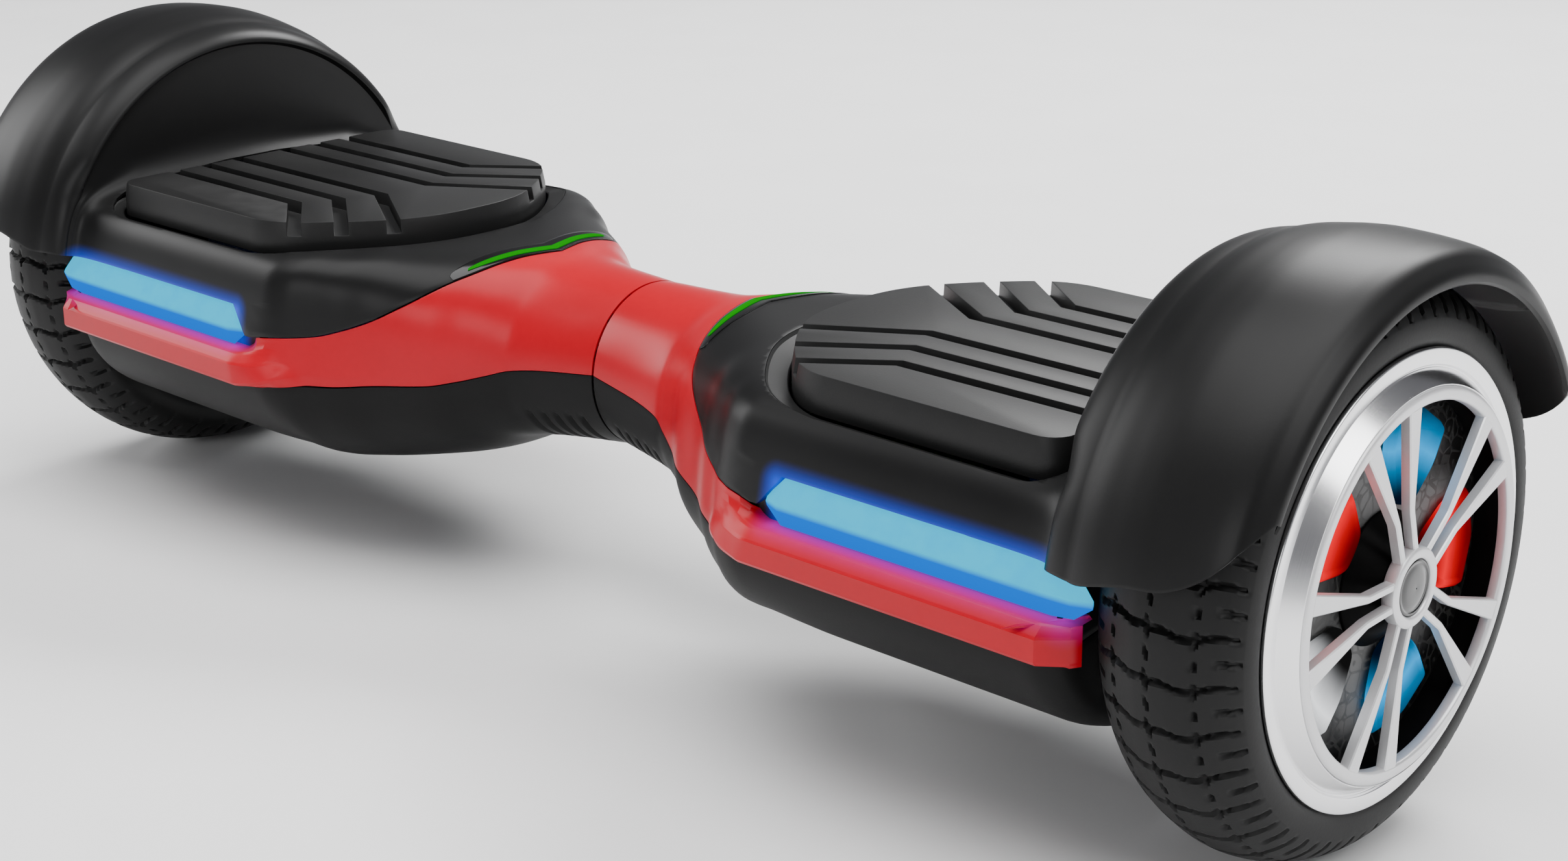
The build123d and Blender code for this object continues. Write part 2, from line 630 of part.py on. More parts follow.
def charge_socket():
    """Round charging inlet in the rear wall, with two ears for its flap."""
    body = y_cylinder(PORT_R, PORT_FACE - PORT_DEPTH, PORT_FACE, PORT_X, PORT_HEIGHT)
    for x0 in (PORT_X - EAR_OUT, PORT_X + EAR_IN):
        x1 = x0 + EAR_OUT - EAR_IN
        body += block(x0, x1, PORT_FACE - 8, PORT_FACE, HINGE_HEIGHT - 8, EAR_TOP)
        body += block(x0, x1, PORT_FACE, HINGE_Y + 2, PORT_HEIGHT + PORT_R + 0.3, EAR_TOP)
    pin = x_cylinder(HINGE_R + HINGE_FIT, PORT_X - 2 * EAR_OUT, PORT_X + 2 * EAR_OUT, HINGE_HEIGHT, HINGE_Y)
    bore = y_cylinder(PORT_BORE_R, PORT_FACE - PORT_BORE_DEPTH, PORT_FACE + 1, PORT_X, PORT_HEIGHT)
    return body - pin - bore


def charge_cap():
    """Flap over the inlet, hung from a pin along its upper edge."""
    y0 = PORT_FACE + CAP_GAP
    half = EAR_IN - 0.4
    cap = y_cylinder(PORT_R, y0, y0 + CAP_T, PORT_X, PORT_HEIGHT)
    cap += block(PORT_X - half, PORT_X + half, y0, y0 + CAP_T, PORT_HEIGHT, HINGE_HEIGHT)
    cap += x_cylinder(HINGE_R + 0.6, PORT_X - half, PORT_X + half, HINGE_HEIGHT, HINGE_Y)
    return cap + x_cylinder(HINGE_R, PORT_X - EAR_OUT, PORT_X + EAR_OUT, HINGE_HEIGHT, HINGE_Y)


def button_bezel():
    """Round housing of the power button, in the left half's rear wall."""
    body = y_cylinder(PORT_R, PORT_FACE - PORT_DEPTH, PORT_FACE, -PORT_X, PORT_HEIGHT)
    floor = PORT_FACE - PORT_DEPTH + 3
    return body - y_cylinder(BUTTON_R + BUTTON_CLEAR, floor, PORT_FACE + 1, -PORT_X, PORT_HEIGHT)


def power_button():
    """Push button standing proud of its housing."""
    back = PORT_FACE - PORT_DEPTH + 3 + BUTTON_TRAVEL + 0.5
    return y_cylinder(BUTTON_R, back, PORT_FACE + BUTTON_PROUD, -PORT_X, PORT_HEIGHT)


def half_nodes():
    """Every sub-part that both halves have, as it sits in the right half."""
    return {
        "top_shell": top_shell(),
        "side_trim": side_trim(),
        "front_light": light_bar(-1),
        "rear_light": light_bar(1),
        "status_light": status_light(),
        "axle_clamp": axle_clamp(),
        "clamp_bolts": clamp_bolts(),
        "shell_screws": shell_screws(),
        "foot_pad": foot_pad(),
        "sensor_board": sensor_board(),
        "axle": axle(),
        "stator": stator(),
        "tyre": tyre(),
        "rim": rim(),
        "inner_cover": inner_cover(),
        "wheel_bearings": wheel_bearings(),
        "magnets": magnets(),
        "spoke_cover": spoke_cover(),
        "hub_cap": hub_cap(),
        "led_board": led_board(),
        "lens_red": [lens(0), lens(144)],
        "lens_cyan": [lens(72), lens(288)],
        "lens_white": [lens(216)],
    }


def as_group(shape):
    """Several identical solids as one shape, or the shape itself."""
    return Compound(shape) if isinstance(shape, list) else shape


def all_nodes():
    """Every sub-part by name, with heights from the axle."""
    nodes = {}
    for name, shape in half_nodes().items():
        group = as_group(shape)
        nodes["right_" + name] = group
        nodes["left_" + name] = turned(group)
    nodes["right_bottom_shell"] = bottom_shell(port_space() + hinge_space())
    nodes["left_bottom_shell"] = turned(bottom_shell(turned(port_space(-PORT_X))))
    nodes["right_chassis"] = chassis(fixed=True)
    nodes["left_chassis"] = turned(chassis(fixed=False))
    nodes["pivot_tube"] = pivot_tube()
    nodes["pivot_bush"] = turned(pivot_bush())
    nodes["pivot_ring"] = turned(pivot_ring())
    nodes["wire_loom"] = wire_loom()
    nodes["battery"] = battery()
    nodes["control_board"] = turned(control_board())
    nodes["charge_socket"] = charge_socket()
    nodes["charge_cap"] = charge_cap()
    nodes["button_bezel"] = button_bezel()
    nodes["power_button"] = power_button()
    return nodes


os.makedirs("parts", exist_ok=True)
for node, shape in all_nodes().items():
    export_step(Pos(0, 0, TYRE_R) * shape, f"parts/{node}.step")
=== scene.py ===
"""Visual model of a self balancing two-wheeled board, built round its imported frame."""
import logging
import math
from dataclasses import dataclass
from enum import Enum
from functools import cache
from typing import Sequence

import bmesh
import bpy
import numpy as np
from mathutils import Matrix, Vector


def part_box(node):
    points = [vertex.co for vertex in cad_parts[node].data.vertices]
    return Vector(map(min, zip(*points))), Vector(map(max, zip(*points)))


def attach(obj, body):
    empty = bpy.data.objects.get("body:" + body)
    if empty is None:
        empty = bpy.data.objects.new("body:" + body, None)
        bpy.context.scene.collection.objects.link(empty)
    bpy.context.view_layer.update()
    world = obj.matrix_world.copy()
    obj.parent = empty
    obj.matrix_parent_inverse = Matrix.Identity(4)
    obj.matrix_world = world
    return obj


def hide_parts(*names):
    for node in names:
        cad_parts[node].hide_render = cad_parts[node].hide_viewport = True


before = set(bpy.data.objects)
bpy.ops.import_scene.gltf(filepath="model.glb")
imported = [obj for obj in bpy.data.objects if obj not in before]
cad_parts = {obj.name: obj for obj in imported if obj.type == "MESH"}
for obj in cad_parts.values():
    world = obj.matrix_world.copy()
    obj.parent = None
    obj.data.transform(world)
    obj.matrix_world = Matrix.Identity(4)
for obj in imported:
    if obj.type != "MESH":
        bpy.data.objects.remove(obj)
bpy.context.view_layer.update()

LOG = logging.getLogger("board")
MM = 0.001
Colour = tuple[float, float, float]
Point = tuple[float, float]


# ---------------------------------------------------------------- geometry helpers


class Side(Enum):
    """The two halves of the board. The left one is the right one turned half round about Z."""

    RIGHT = 1
    LEFT = -1

    @property
    def label(self) -> str:
        """The word that starts this half's names."""
        return self.name.lower()

    def place(self, points: np.ndarray) -> np.ndarray:
        """Points drawn for the right half, moved to this half."""
        return points * np.array([self.value, self.value, 1.0])

    def named(self, piece: str) -> str:
        """A piece's name on this half."""
        return f"{self.label}_{piece}"


class Curve:
    """A smooth curve through knots that never overshoots them."""

    def __init__(self, *knots: Point) -> None:
        """Fits the curve.

        Args:
            knots: (x, y) pairs in rising x.
        """
        self.x = np.array([k[0] for k in knots], float)
        self.y = np.array([k[1] for k in knots], float)
        step = np.diff(self.x)
        rise = np.diff(self.y) / step
        slope = np.zeros(len(knots))
        for i in range(1, len(knots) - 1):
            if rise[i - 1] * rise[i] > 0:
                a, b = 2 * step[i] + step[i - 1], step[i] + 2 * step[i - 1]
                slope[i] = (a + b) / (a / rise[i - 1] + b / rise[i])
        slope[0], slope[-1] = rise[0], rise[-1]
        self.slope = slope

    def __call__(self, x: np.ndarray | float) -> np.ndarray:
        """The curve's height.

        Args:
            x: where to read it; outside the knots the end height holds.

        Returns:
            The heights, in the shape of x.
        """
        x = np.clip(np.asarray(x, float), self.x[0], self.x[-1])
        i = np.clip(np.searchsorted(self.x, x, "right") - 1, 0, len(self.x) - 2)
        h = self.x[i + 1] - self.x[i]
        t = (x - self.x[i]) / h
        return ((1 + 2 * t) * (1 - t) ** 2 * self.y[i] + t * (1 - t) ** 2 * h * self.slope[i]
                + t * t * (3 - 2 * t) * self.y[i + 1] + t * t * (t - 1) * h * self.slope[i + 1])


def ramp(x: np.ndarray | float, low: np.ndarray | float, high: np.ndarray | float) -> np.ndarray:
    """Zero below low, one above high, straight between them."""
    return np.clip((np.asarray(x, float) - low) / (np.asarray(high, float) - low), 0, 1)


def ease(x: np.ndarray | float, low: float, high: float) -> np.ndarray:
    """Zero below low, one above high, smooth between them."""
    t = ramp(x, low, high)
    return t * t * (3 - 2 * t)


def bend(a: Point, b: Point, c: Point, d: Point, count: int) -> np.ndarray:
    """A Bezier run.

    Args:
        a: start.
        b: first handle.
        c: second handle.
        d: end.
        count: number of points, both ends included.

    Returns:
        An array of points.
    """
    t = np.linspace(0, 1, count)[:, None]
    a, b, c, d = (np.array(p, float) for p in (a, b, c, d))
    return (1 - t) ** 3 * a + 3 * t * (1 - t) ** 2 * b + 3 * t * t * (1 - t) * c + t ** 3 * d


def rounded(corners: Sequence[tuple[float, float, float]], steps: int = 6) -> np.ndarray:
    """A closed outline with rounded corners.

    Args:
        corners: (x, y, size) of each corner, in order round the outline.
        steps: points on each rounded corner.

    Returns:
        The outline's points.
    """
    points = []
    for i, (x, y, size) in enumerate(corners):
        here = np.array([x, y])
        before = np.array(corners[i - 1][:2]) - here
        after = np.array(corners[(i + 1) % len(corners)][:2]) - here
        reach = min(size, 0.49 * np.linalg.norm(before), 0.49 * np.linalg.norm(after))
        start = here + before / np.linalg.norm(before) * reach
        end = here + after / np.linalg.norm(after) * reach
        points.extend(bend(start, start + (here - start) * 0.6, end + (here - end) * 0.6, end, steps))
    return np.array(points)


def swell(outline: np.ndarray, by: np.ndarray | float) -> np.ndarray:
    """An outline moved outwards along its normals.

    Args:
        outline: closed outline.
        by: distance, one for all points or one each.

    Returns:
        The moved outline.
    """
    run = np.roll(outline, -1, 0) - np.roll(outline, 1, 0)
    normal = np.stack([run[:, 1], -run[:, 0]], 1)
    normal /= np.linalg.norm(normal, axis=1)[:, None]
    x, y = outline[:, 0], outline[:, 1]
    turning = np.sum(x * np.roll(y, -1) - y * np.roll(x, -1))
    return outline + normal * np.sign(turning) * np.broadcast_to(by, len(outline))[:, None]


class Draft:
    """Vertices in millimetres and faces of a piece while it is being drawn, for the right half."""

    def __init__(self) -> None:
        """Starts with nothing drawn."""
        self.points: list[np.ndarray] = []
        self.faces: list[list[int]] = []
        self.count = 0

    def _take(self, points: np.ndarray) -> int:
        """Keeps points and gives the number of the first."""
        start = self.count
        self.points.append(np.asarray(points, float).reshape(-1, 3))
        self.count += len(self.points[-1])
        return start

    def grid(self, points: np.ndarray, wrap: bool = False) -> None:
        """Adds a sheet of quads.

        Args:
            points: array of rows by columns by 3.
            wrap: True joins the last row to the first.
        """
        rows, cols, _ = points.shape
        start = self._take(points)
        i = np.arange(rows if wrap else rows - 1)[:, None]
        j = np.arange(cols - 1)[None, :]
        k = (i + 1) % rows
        quads = np.stack(np.broadcast_arrays(start + i * cols + j, start + i * cols + j + 1,
                                             start + k * cols + j + 1, start + k * cols + j), -1)
        self.faces.extend(quads.reshape(-1, 4).tolist())

    def stack(self, rings: Sequence[np.ndarray]) -> None:
        """Adds a closed solid through rings, capped at both ends.

        Args:
            rings: rings of points, all of one count.
        """
        size = len(rings[0])
        start = self._take(np.concatenate(rings))
        for level in range(len(rings) - 1):
            a = start + level * size
            for j in range(size):
                k = (j + 1) % size
                self.faces.append([a + j, a + k, a + size + k, a + size + j])
        self.faces.append(list(range(start, start + size))[::-1])
        self.faces.append(list(range(start + (len(rings) - 1) * size, start + len(rings) * size)))

    def lathe(self, profile: np.ndarray, axle: Point, turns: int = 160) -> None:
        """Adds a closed ring turned about a wheel's axle.

        Args:
            profile: closed outline of (x, radius).
            axle: the axle's y and z.
            turns: number of steps round.
        """
        angle = np.linspace(0, 2 * math.pi, turns, endpoint=False)
        closed = np.vstack([profile, profile[:1]])
        x, r = closed[:, 0][None, :], closed[:, 1][None, :]
        ring = np.stack(np.broadcast_arrays(x, axle[0] + r * np.cos(angle)[:, None],
                                            axle[1] + r * np.sin(angle)[:, None]), -1)
        self.grid(ring, wrap=True)

    def piece(self, name: str, side: Side = Side.RIGHT, sharp: float = 32.0,
              outward: Point | None = None) -> bpy.types.Object:
        """Makes the drawn piece.

        Args:
            name: its name.
            side: the half it belongs to.
            sharp: angle in degrees above which an edge stays crisp.
            outward: y and z of the line that an open sheet faces away from.

        Returns:
            The new object.
        """
        mesh = bpy.data.meshes.new(name)
        mesh.from_pydata((side.place(np.concatenate(self.points)) * MM).tolist(), [], self.faces)
        work = bmesh.new()
        work.from_mesh(mesh)
        bmesh.ops.remove_doubles(work, verts=work.verts, dist=0.00002)
        bmesh.ops.dissolve_degenerate(work, edges=work.edges, dist=0.000005)
        bmesh.ops.recalc_face_normals(work, faces=work.faces)
        if outward is not None:
            centre = np.array(outward) * MM
            facing = sum(f.normal.y * (f.calc_center_median().y - centre[0]) * f.calc_area()
                         + f.normal.z * (f.calc_center_median().z - centre[1]) * f.calc_area()
                         for f in work.faces)
            if facing < 0:
                bmesh.ops.reverse_faces(work, faces=work.faces)
        work.to_mesh(mesh)
        work.free()
        made = bpy.data.objects.new(name, mesh)
        bpy.context.scene.collection.objects.link(made)
        smooth(made, sharp)
        return made


def smooth(piece: bpy.types.Object, sharp: float) -> None:
    """Shades a piece smooth with crisp edges above an angle in degrees."""
    piece.data.shade_smooth()
    piece.data.set_sharp_from_angle(angle=math.radians(sharp))


def freeze(piece: bpy.types.Object) -> None:
    """Applies every modifier of a piece.

    Args:
        piece: the piece.
    """
    shaped = piece.evaluated_get(bpy.context.evaluated_depsgraph_get())
    mesh = bpy.data.meshes.new_from_object(shaped)
    piece.modifiers.clear()
    piece.data = mesh


def thicken(piece: bpy.types.Object, wall: float) -> None:
    """Gives a sheet a wall on its inner side.

    Args:
        piece: the sheet.
        wall: the wall's thickness in millimetres.
    """
    solid = piece.modifiers.new("wall", "SOLIDIFY")
    solid.thickness = wall * MM
    solid.offset = -1
    solid.use_even_offset = True
    solid.thickness_clamp = 1.0


def soften(piece: bpy.types.Object, width: float, angle: float = 35.0, segments: int = 2) -> None:
    """Rounds a piece's edges.

    Args:
        piece: the piece.
        width: size of the rounding in millimetres.
        angle: edges sharper than this are rounded, in degrees.
        segments: faces across the rounding.
    """
    edge = piece.modifiers.new("edge", "BEVEL")
    edge.width = width * MM
    edge.segments = segments
    edge.limit_method = "ANGLE"
    edge.angle_limit = math.radians(angle)
    edge.harden_normals = False


def carve(piece: bpy.types.Object, tools: Sequence[bpy.types.Object]) -> None:
    """Cuts tools out of a piece and removes them.

    Args:
        piece: the piece to cut.
        tools: the solids to take away.
    """
    for tool in tools:
        cut = piece.modifiers.new("cut", "BOOLEAN")
        cut.operation = "DIFFERENCE"
        cut.solver = "EXACT"
        cut.object = tool
    freeze(piece)
    for tool in tools:
        bpy.data.objects.remove(tool)


# ---------------------------------------------------------------- shared shader effects


GLOW_FALL = 1.8


@dataclass(frozen=True)
class BarLine:
    """Where the light bars lie, in metres, for the light that they cast on the shells.

    Attributes:
        out: distance of their face from the middle, front and rear alike.
        height: height of their middle.
        half: half of their height.
        start: where they start along the board.
        end: where they end.
    """

    out: float = 0.0775
    height: float = 0.0880
    half: float = 0.0055
    start: float = 0.1290
    end: float = 0.2300


BARS = BarLine()


class Effects:
    """Node groups that more than one finish uses, each built once."""

    @staticmethod
    def _new(name: str, inputs: Sequence[tuple[str, float]], outputs: Sequence[str]) -> tuple[
            bpy.types.NodeTree, bpy.types.Node, bpy.types.Node]:
        """Starts a group.

        Args:
            name: the group's name.
            inputs: names and default values of its number inputs.
            outputs: names of its number outputs.

        Returns:
            The group, its input node and its output node.
        """
        group = bpy.data.node_groups.new(name, "ShaderNodeTree")
        for label, value in inputs:
            socket = group.interface.new_socket(label, in_out="INPUT", socket_type="NodeSocketFloat")
            socket.default_value = value
        for label in outputs:
            group.interface.new_socket(label, in_out="OUTPUT", socket_type="NodeSocketFloat")
        return group, group.nodes.new("NodeGroupInput"), group.nodes.new("NodeGroupOutput")

    @staticmethod
    @cache
    def grain() -> bpy.types.NodeTree:
        """Moulded grain: fine cells over a soft large drift."""
        group, entry, leave = Effects._new("moulded_grain", [("Scale", 1500.0), ("Drift", 14.0)],
                                           ["Height", "Tone"])
        at = group.nodes.new("ShaderNodeTexCoord").outputs["Object"]
        cells = group.nodes.new("ShaderNodeTexVoronoi")
        cells.feature = "SMOOTH_F1"
        fine = group.nodes.new("ShaderNodeTexNoise")
        fine.inputs["Detail"].default_value = 3
        drift = group.nodes.new("ShaderNodeTexNoise")
        drift.inputs["Detail"].default_value = 4
        for node in (cells, fine, drift):
            group.links.new(at, node.inputs["Vector"])
        group.links.new(entry.outputs["Scale"], cells.inputs["Scale"])
        group.links.new(entry.outputs["Scale"], fine.inputs["Scale"])
        group.links.new(entry.outputs["Drift"], drift.inputs["Scale"])
        height = calc(group, "ADD", cells.outputs["Distance"], fine.outputs["Fac"])
        tone = calc(group, "ADD", calc(group, "MULTIPLY", drift.outputs["Fac"], 0.75),
                    calc(group, "MULTIPLY", fine.outputs["Fac"], 0.25))
        group.links.new(height, leave.inputs["Height"])
        group.links.new(tone, leave.inputs["Tone"])
        return group

    @staticmethod
    @cache
    def spun() -> bpy.types.NodeTree:
        """Machined rings round a wheel's axle, with faint streaks."""
        group, entry, leave = Effects._new("spun_rings", [("Pitch", 2600.0)], ["Height", "Tone"])
        at = group.nodes.new("ShaderNodeTexCoord").outputs["Object"]
        split = group.nodes.new("ShaderNodeSeparateXYZ")
        group.links.new(at, split.inputs[0])
        reach = from_axle(group, split)
        join = group.nodes.new("ShaderNodeCombineXYZ")
        group.links.new(reach, join.inputs["X"])
        group.links.new(split.outputs["X"], join.inputs["Y"])
        lines = group.nodes.new("ShaderNodeTexNoise")
        lines.inputs["Detail"].default_value = 4
        group.links.new(join.outputs[0], lines.inputs["Vector"])
        group.links.new(entry.outputs["Pitch"], lines.inputs["Scale"])
        drift = group.nodes.new("ShaderNodeTexNoise")
        drift.inputs["Scale"].default_value = 45
        group.links.new(at, drift.inputs["Vector"])
        tone = calc(group, "ADD", calc(group, "MULTIPLY", lines.outputs["Fac"], 0.5),
                    calc(group, "MULTIPLY", drift.outputs["Fac"], 0.5))
        group.links.new(lines.outputs["Fac"], leave.inputs["Height"])
        group.links.new(tone, leave.inputs["Tone"])
        return group

    @staticmethod
    @cache
    def weave() -> bpy.types.NodeTree:
        """Crossed strands, as in a braided sleeve or a wound coil."""
        group, entry, leave = Effects._new("crossed_strands", [("Scale", 900.0), ("Drift", 20.0)],
                                           ["Height", "Tone"])
        at = group.nodes.new("ShaderNodeTexCoord").outputs["Object"]
        heights = []
        for axis in ("X", "Y", "Z"):
            strands = group.nodes.new("ShaderNodeTexWave")
            strands.bands_direction = axis
            strands.inputs["Distortion"].default_value = 0.6
            group.links.new(at, strands.inputs["Vector"])
            group.links.new(entry.outputs["Scale"], strands.inputs["Scale"])
            heights.append(strands.outputs["Fac"])
        drift = group.nodes.new("ShaderNodeTexNoise")
        group.links.new(at, drift.inputs["Vector"])
        group.links.new(entry.outputs["Drift"], drift.inputs["Scale"])
        crossed = calc(group, "MAXIMUM", calc(group, "MULTIPLY", heights[0], heights[1]), heights[2])
        tone = calc(group, "ADD", calc(group, "MULTIPLY", crossed, 0.6),
                    calc(group, "MULTIPLY", drift.outputs["Fac"], 0.4))
        group.links.new(crossed, leave.inputs["Height"])
        group.links.new(tone, leave.inputs["Tone"])
        return group

    @staticmethod
    @cache
    def tracks() -> bpy.types.NodeTree:
        """Copper tracks and solder spots of a circuit board."""
        group, entry, leave = Effects._new("board_tracks", [("Scale", 260.0), ("Drift", 30.0)],
                                           ["Height", "Tone"])
        at = group.nodes.new("ShaderNodeTexCoord").outputs["Object"]
        cells = group.nodes.new("ShaderNodeTexVoronoi")
        cells.feature = "DISTANCE_TO_EDGE"
        cells.distance = "MANHATTAN"
        spots = group.nodes.new("ShaderNodeTexVoronoi")
        drift = group.nodes.new("ShaderNodeTexNoise")
        for node in (cells, spots, drift):
            group.links.new(at, node.inputs["Vector"])
        group.links.new(entry.outputs["Scale"], cells.inputs["Scale"])
        group.links.new(entry.outputs["Scale"], spots.inputs["Scale"])
        group.links.new(entry.outputs["Drift"], drift.inputs["Scale"])
        lines = calc(group, "LESS_THAN", cells.outputs["Distance"], 0.06)
        dots = calc(group, "LESS_THAN", spots.outputs["Distance"], 0.16)
        mask = calc(group, "MAXIMUM", lines, dots)
        tone = calc(group, "ADD", calc(group, "MULTIPLY", mask, 0.75),
                    calc(group, "MULTIPLY", drift.outputs["Fac"], 0.25))
        group.links.new(mask, leave.inputs["Height"])
        group.links.new(tone, leave.inputs["Tone"])
        return group

    @staticmethod
    @cache
    def worn_edge() -> bpy.types.NodeTree:
        """Where a piece's raised edges have been rubbed, broken up by noise."""
        group, entry, leave = Effects._new("worn_edge", [("Reach", 0.52), ("Break", 120.0)], ["Mask"])
        shape = group.nodes.new("ShaderNodeNewGeometry").outputs["Pointiness"]
        spots = group.nodes.new("ShaderNodeTexNoise")
        group.links.new(group.nodes.new("ShaderNodeTexCoord").outputs["Object"], spots.inputs["Vector"])
        group.links.new(entry.outputs["Break"], spots.inputs["Scale"])
        past = calc(group, "SUBTRACT", shape, entry.outputs["Reach"])
        mask = calc(group, "MULTIPLY", calc(group, "MULTIPLY", past, 14.0), spots.outputs["Fac"], True)
        group.links.new(mask, leave.inputs["Mask"])
        return group

    @staticmethod
    @cache
    def lamp_halo() -> bpy.types.NodeTree:
        """How brightly the light bars shine on a surface, from its distance to them."""
        group, entry, leave = Effects._new("lamp_halo", [("Reach", 0.016)], ["Mask"])
        at = group.nodes.new("ShaderNodeTexCoord").outputs["Object"]
        split = group.nodes.new("ShaderNodeSeparateXYZ")
        group.links.new(at, split.inputs[0])
        along = calc(group, "ABSOLUTE", split.outputs["X"])
        across = calc(group, "SUBTRACT", calc(group, "ABSOLUTE", split.outputs["Y"]), BARS.out)
        up = calc(group, "SUBTRACT", split.outputs["Z"], BARS.height)
        up = calc(group, "MAXIMUM", calc(group, "SUBTRACT", calc(group, "ABSOLUTE", up), BARS.half), 0.0)
        inner = calc(group, "SUBTRACT", BARS.start, along)
        outer = calc(group, "SUBTRACT", along, BARS.end)
        beyond = calc(group, "MAXIMUM", calc(group, "MAXIMUM", inner, outer), 0.0)
        squares = [calc(group, "MULTIPLY", value, value) for value in (up, across, beyond)]
        far = calc(group, "SQRT", calc(group, "ADD", squares[0], calc(group, "ADD", *squares[1:])))
        near = calc(group, "SUBTRACT", 1.0, calc(group, "DIVIDE", far, entry.outputs["Reach"]), True)
        group.links.new(calc(group, "POWER", near, GLOW_FALL), leave.inputs["Mask"])
        return group


def calc(tree: bpy.types.NodeTree, what: str, a: object, b: object = 0.0, clamp: bool = False) -> object:
    """Adds a Math node.

    Args:
        tree: the node tree.
        what: the operation.
        a: a socket or a number.
        b: a socket or a number.
        clamp: True keeps the result between 0 and 1.

    Returns:
        The result's socket.
    """
    node = tree.nodes.new("ShaderNodeMath")
    node.operation = what
    node.use_clamp = clamp
    for socket, value in zip(node.inputs, (a, b)):
        if isinstance(value, bpy.types.NodeSocket):
            tree.links.new(value, socket)
        else:
            socket.default_value = value
    return node.outputs[0]


def from_axle(tree: bpy.types.NodeTree, split: bpy.types.Node) -> object:
    """Distance from the wheels' axle.

    Args:
        tree: the node tree.
        split: the node that splits a place into its axes.

    Returns:
        The distance's socket, in metres.
    """
    up = calc(tree, "SUBTRACT", split.outputs["Z"], WHEEL.z)
    squares = [calc(tree, "MULTIPLY", value, value) for value in (up, split.outputs["Y"])]
    return calc(tree, "SQRT", calc(tree, "ADD", *squares))


def blend_colour(tree: bpy.types.NodeTree, mask: object, low: object, high: object) -> object:
    """Mixes two colours by a mask.

    Args:
        tree: the node tree.
        mask: socket that runs from 0 to 1.
        low: colour or socket where the mask is 0.
        high: colour or socket where it is 1.

    Returns:
        The mixed colour's socket.
    """
    node = tree.nodes.new("ShaderNodeMix")
    node.data_type = "RGBA"
    tree.links.new(mask, node.inputs["Factor"])
    for socket, value in zip((node.inputs[6], node.inputs[7]), (low, high)):
        if isinstance(value, bpy.types.NodeSocket):
            tree.links.new(value, socket)
        else:
            socket.default_value = (*value, 1.0)
    return node.outputs[2]


def spread(tree: bpy.types.NodeTree, value: object, source: Point, target: Point) -> object:
    """Maps a value from one range to another.

    Args:
        tree: the node tree.
        value: the socket to map.
        source: its range.
        target: the range wanted.

    Returns:
        The mapped value's socket.
    """
    node = tree.nodes.new("ShaderNodeMapRange")
    tree.links.new(value, node.inputs["Value"])
    for label, number in zip(("From Min", "From Max", "To Min", "To Max"), (*source, *target)):
        node.inputs[label].default_value = number
    return node.outputs["Result"]


# ---------------------------------------------------------------- finishes


class Pattern(Enum):
    """The small relief that a finish carries."""

    GRAIN = "grain"
    SPUN = "spun"
    WEAVE = "weave"
    TRACKS = "tracks"


@dataclass(frozen=True)
class Finish:
    """A procedural finish of one moulded, cast, machined or printed material.

    Attributes:
        name: the material's name.
        low: colour where the tone is low.
        high: colour where the tone is high.
        rough: roughness from low to high tone.
        metal: metallic share.
        coat: clear coat weight.
        gloss: specular level.
        pattern: the small relief.
        size: size of the relief in millimetres.
        depth: its depth in millimetres.
        wear: colour shown on rubbed edges, or None.
        halo: colour that the light bars cast on it, or None.
        reach: how far that light reaches, in metres.
    """

    name: str
    low: Colour
    high: Colour
    rough: Point = (0.4, 0.55)
    metal: float = 0.0
    coat: float = 0.0
    gloss: float = 0.5
    pattern: Pattern = Pattern.GRAIN
    size: float = 0.7
    depth: float = 0.02
    wear: Colour | None = None
    halo: Colour | None = None
    reach: float = 0.016

    def make(self) -> bpy.types.Material:
        """The material, built the first time it is asked for."""
        known = bpy.data.materials.get(self.name)
        if known is not None:
            return known
        material = bpy.data.materials.new(self.name)
        material.use_nodes = True
        tree = material.node_tree
        shader = tree.nodes["Principled BSDF"]
        shader.inputs["Metallic"].default_value = self.metal
        shader.inputs["Coat Weight"].default_value = self.coat
        shader.inputs["Coat Roughness"].default_value = 0.06
        shader.inputs["Specular IOR Level"].default_value = self.gloss
        relief = tree.nodes.new("ShaderNodeGroup")
        relief.node_tree = getattr(Effects, self.pattern.value)()
        relief.inputs[0].default_value = 1 / (self.size * MM)
        tone = spread(tree, relief.outputs["Tone"], (0.3, 0.7), (0.0, 1.0))
        colour = blend_colour(tree, tone, self.low, self.high)
        if self.wear is not None:
            rubbed = tree.nodes.new("ShaderNodeGroup")
            rubbed.node_tree = Effects.worn_edge()
            colour = blend_colour(tree, rubbed.outputs["Mask"], colour, self.wear)
        tree.links.new(colour, shader.inputs["Base Color"])
        tree.links.new(spread(tree, tone, (0.0, 1.0), self.rough), shader.inputs["Roughness"])
        bump = tree.nodes.new("ShaderNodeBump")
        bump.inputs["Distance"].default_value = self.depth * MM
        tree.links.new(relief.outputs["Height"], bump.inputs["Height"])
        tree.links.new(bump.outputs["Normal"], shader.inputs["Normal"])
        if self.halo is not None:
            glow = tree.nodes.new("ShaderNodeGroup")
            glow.node_tree = Effects.lamp_halo()
            glow.inputs["Reach"].default_value = self.reach
            lit = blend_colour(tree, glow.outputs["Mask"], (0.0, 0.0, 0.0), self.halo)
            tree.links.new(lit, shader.inputs["Emission Color"])
            shader.inputs["Emission Strength"].default_value = 1.0
        return material


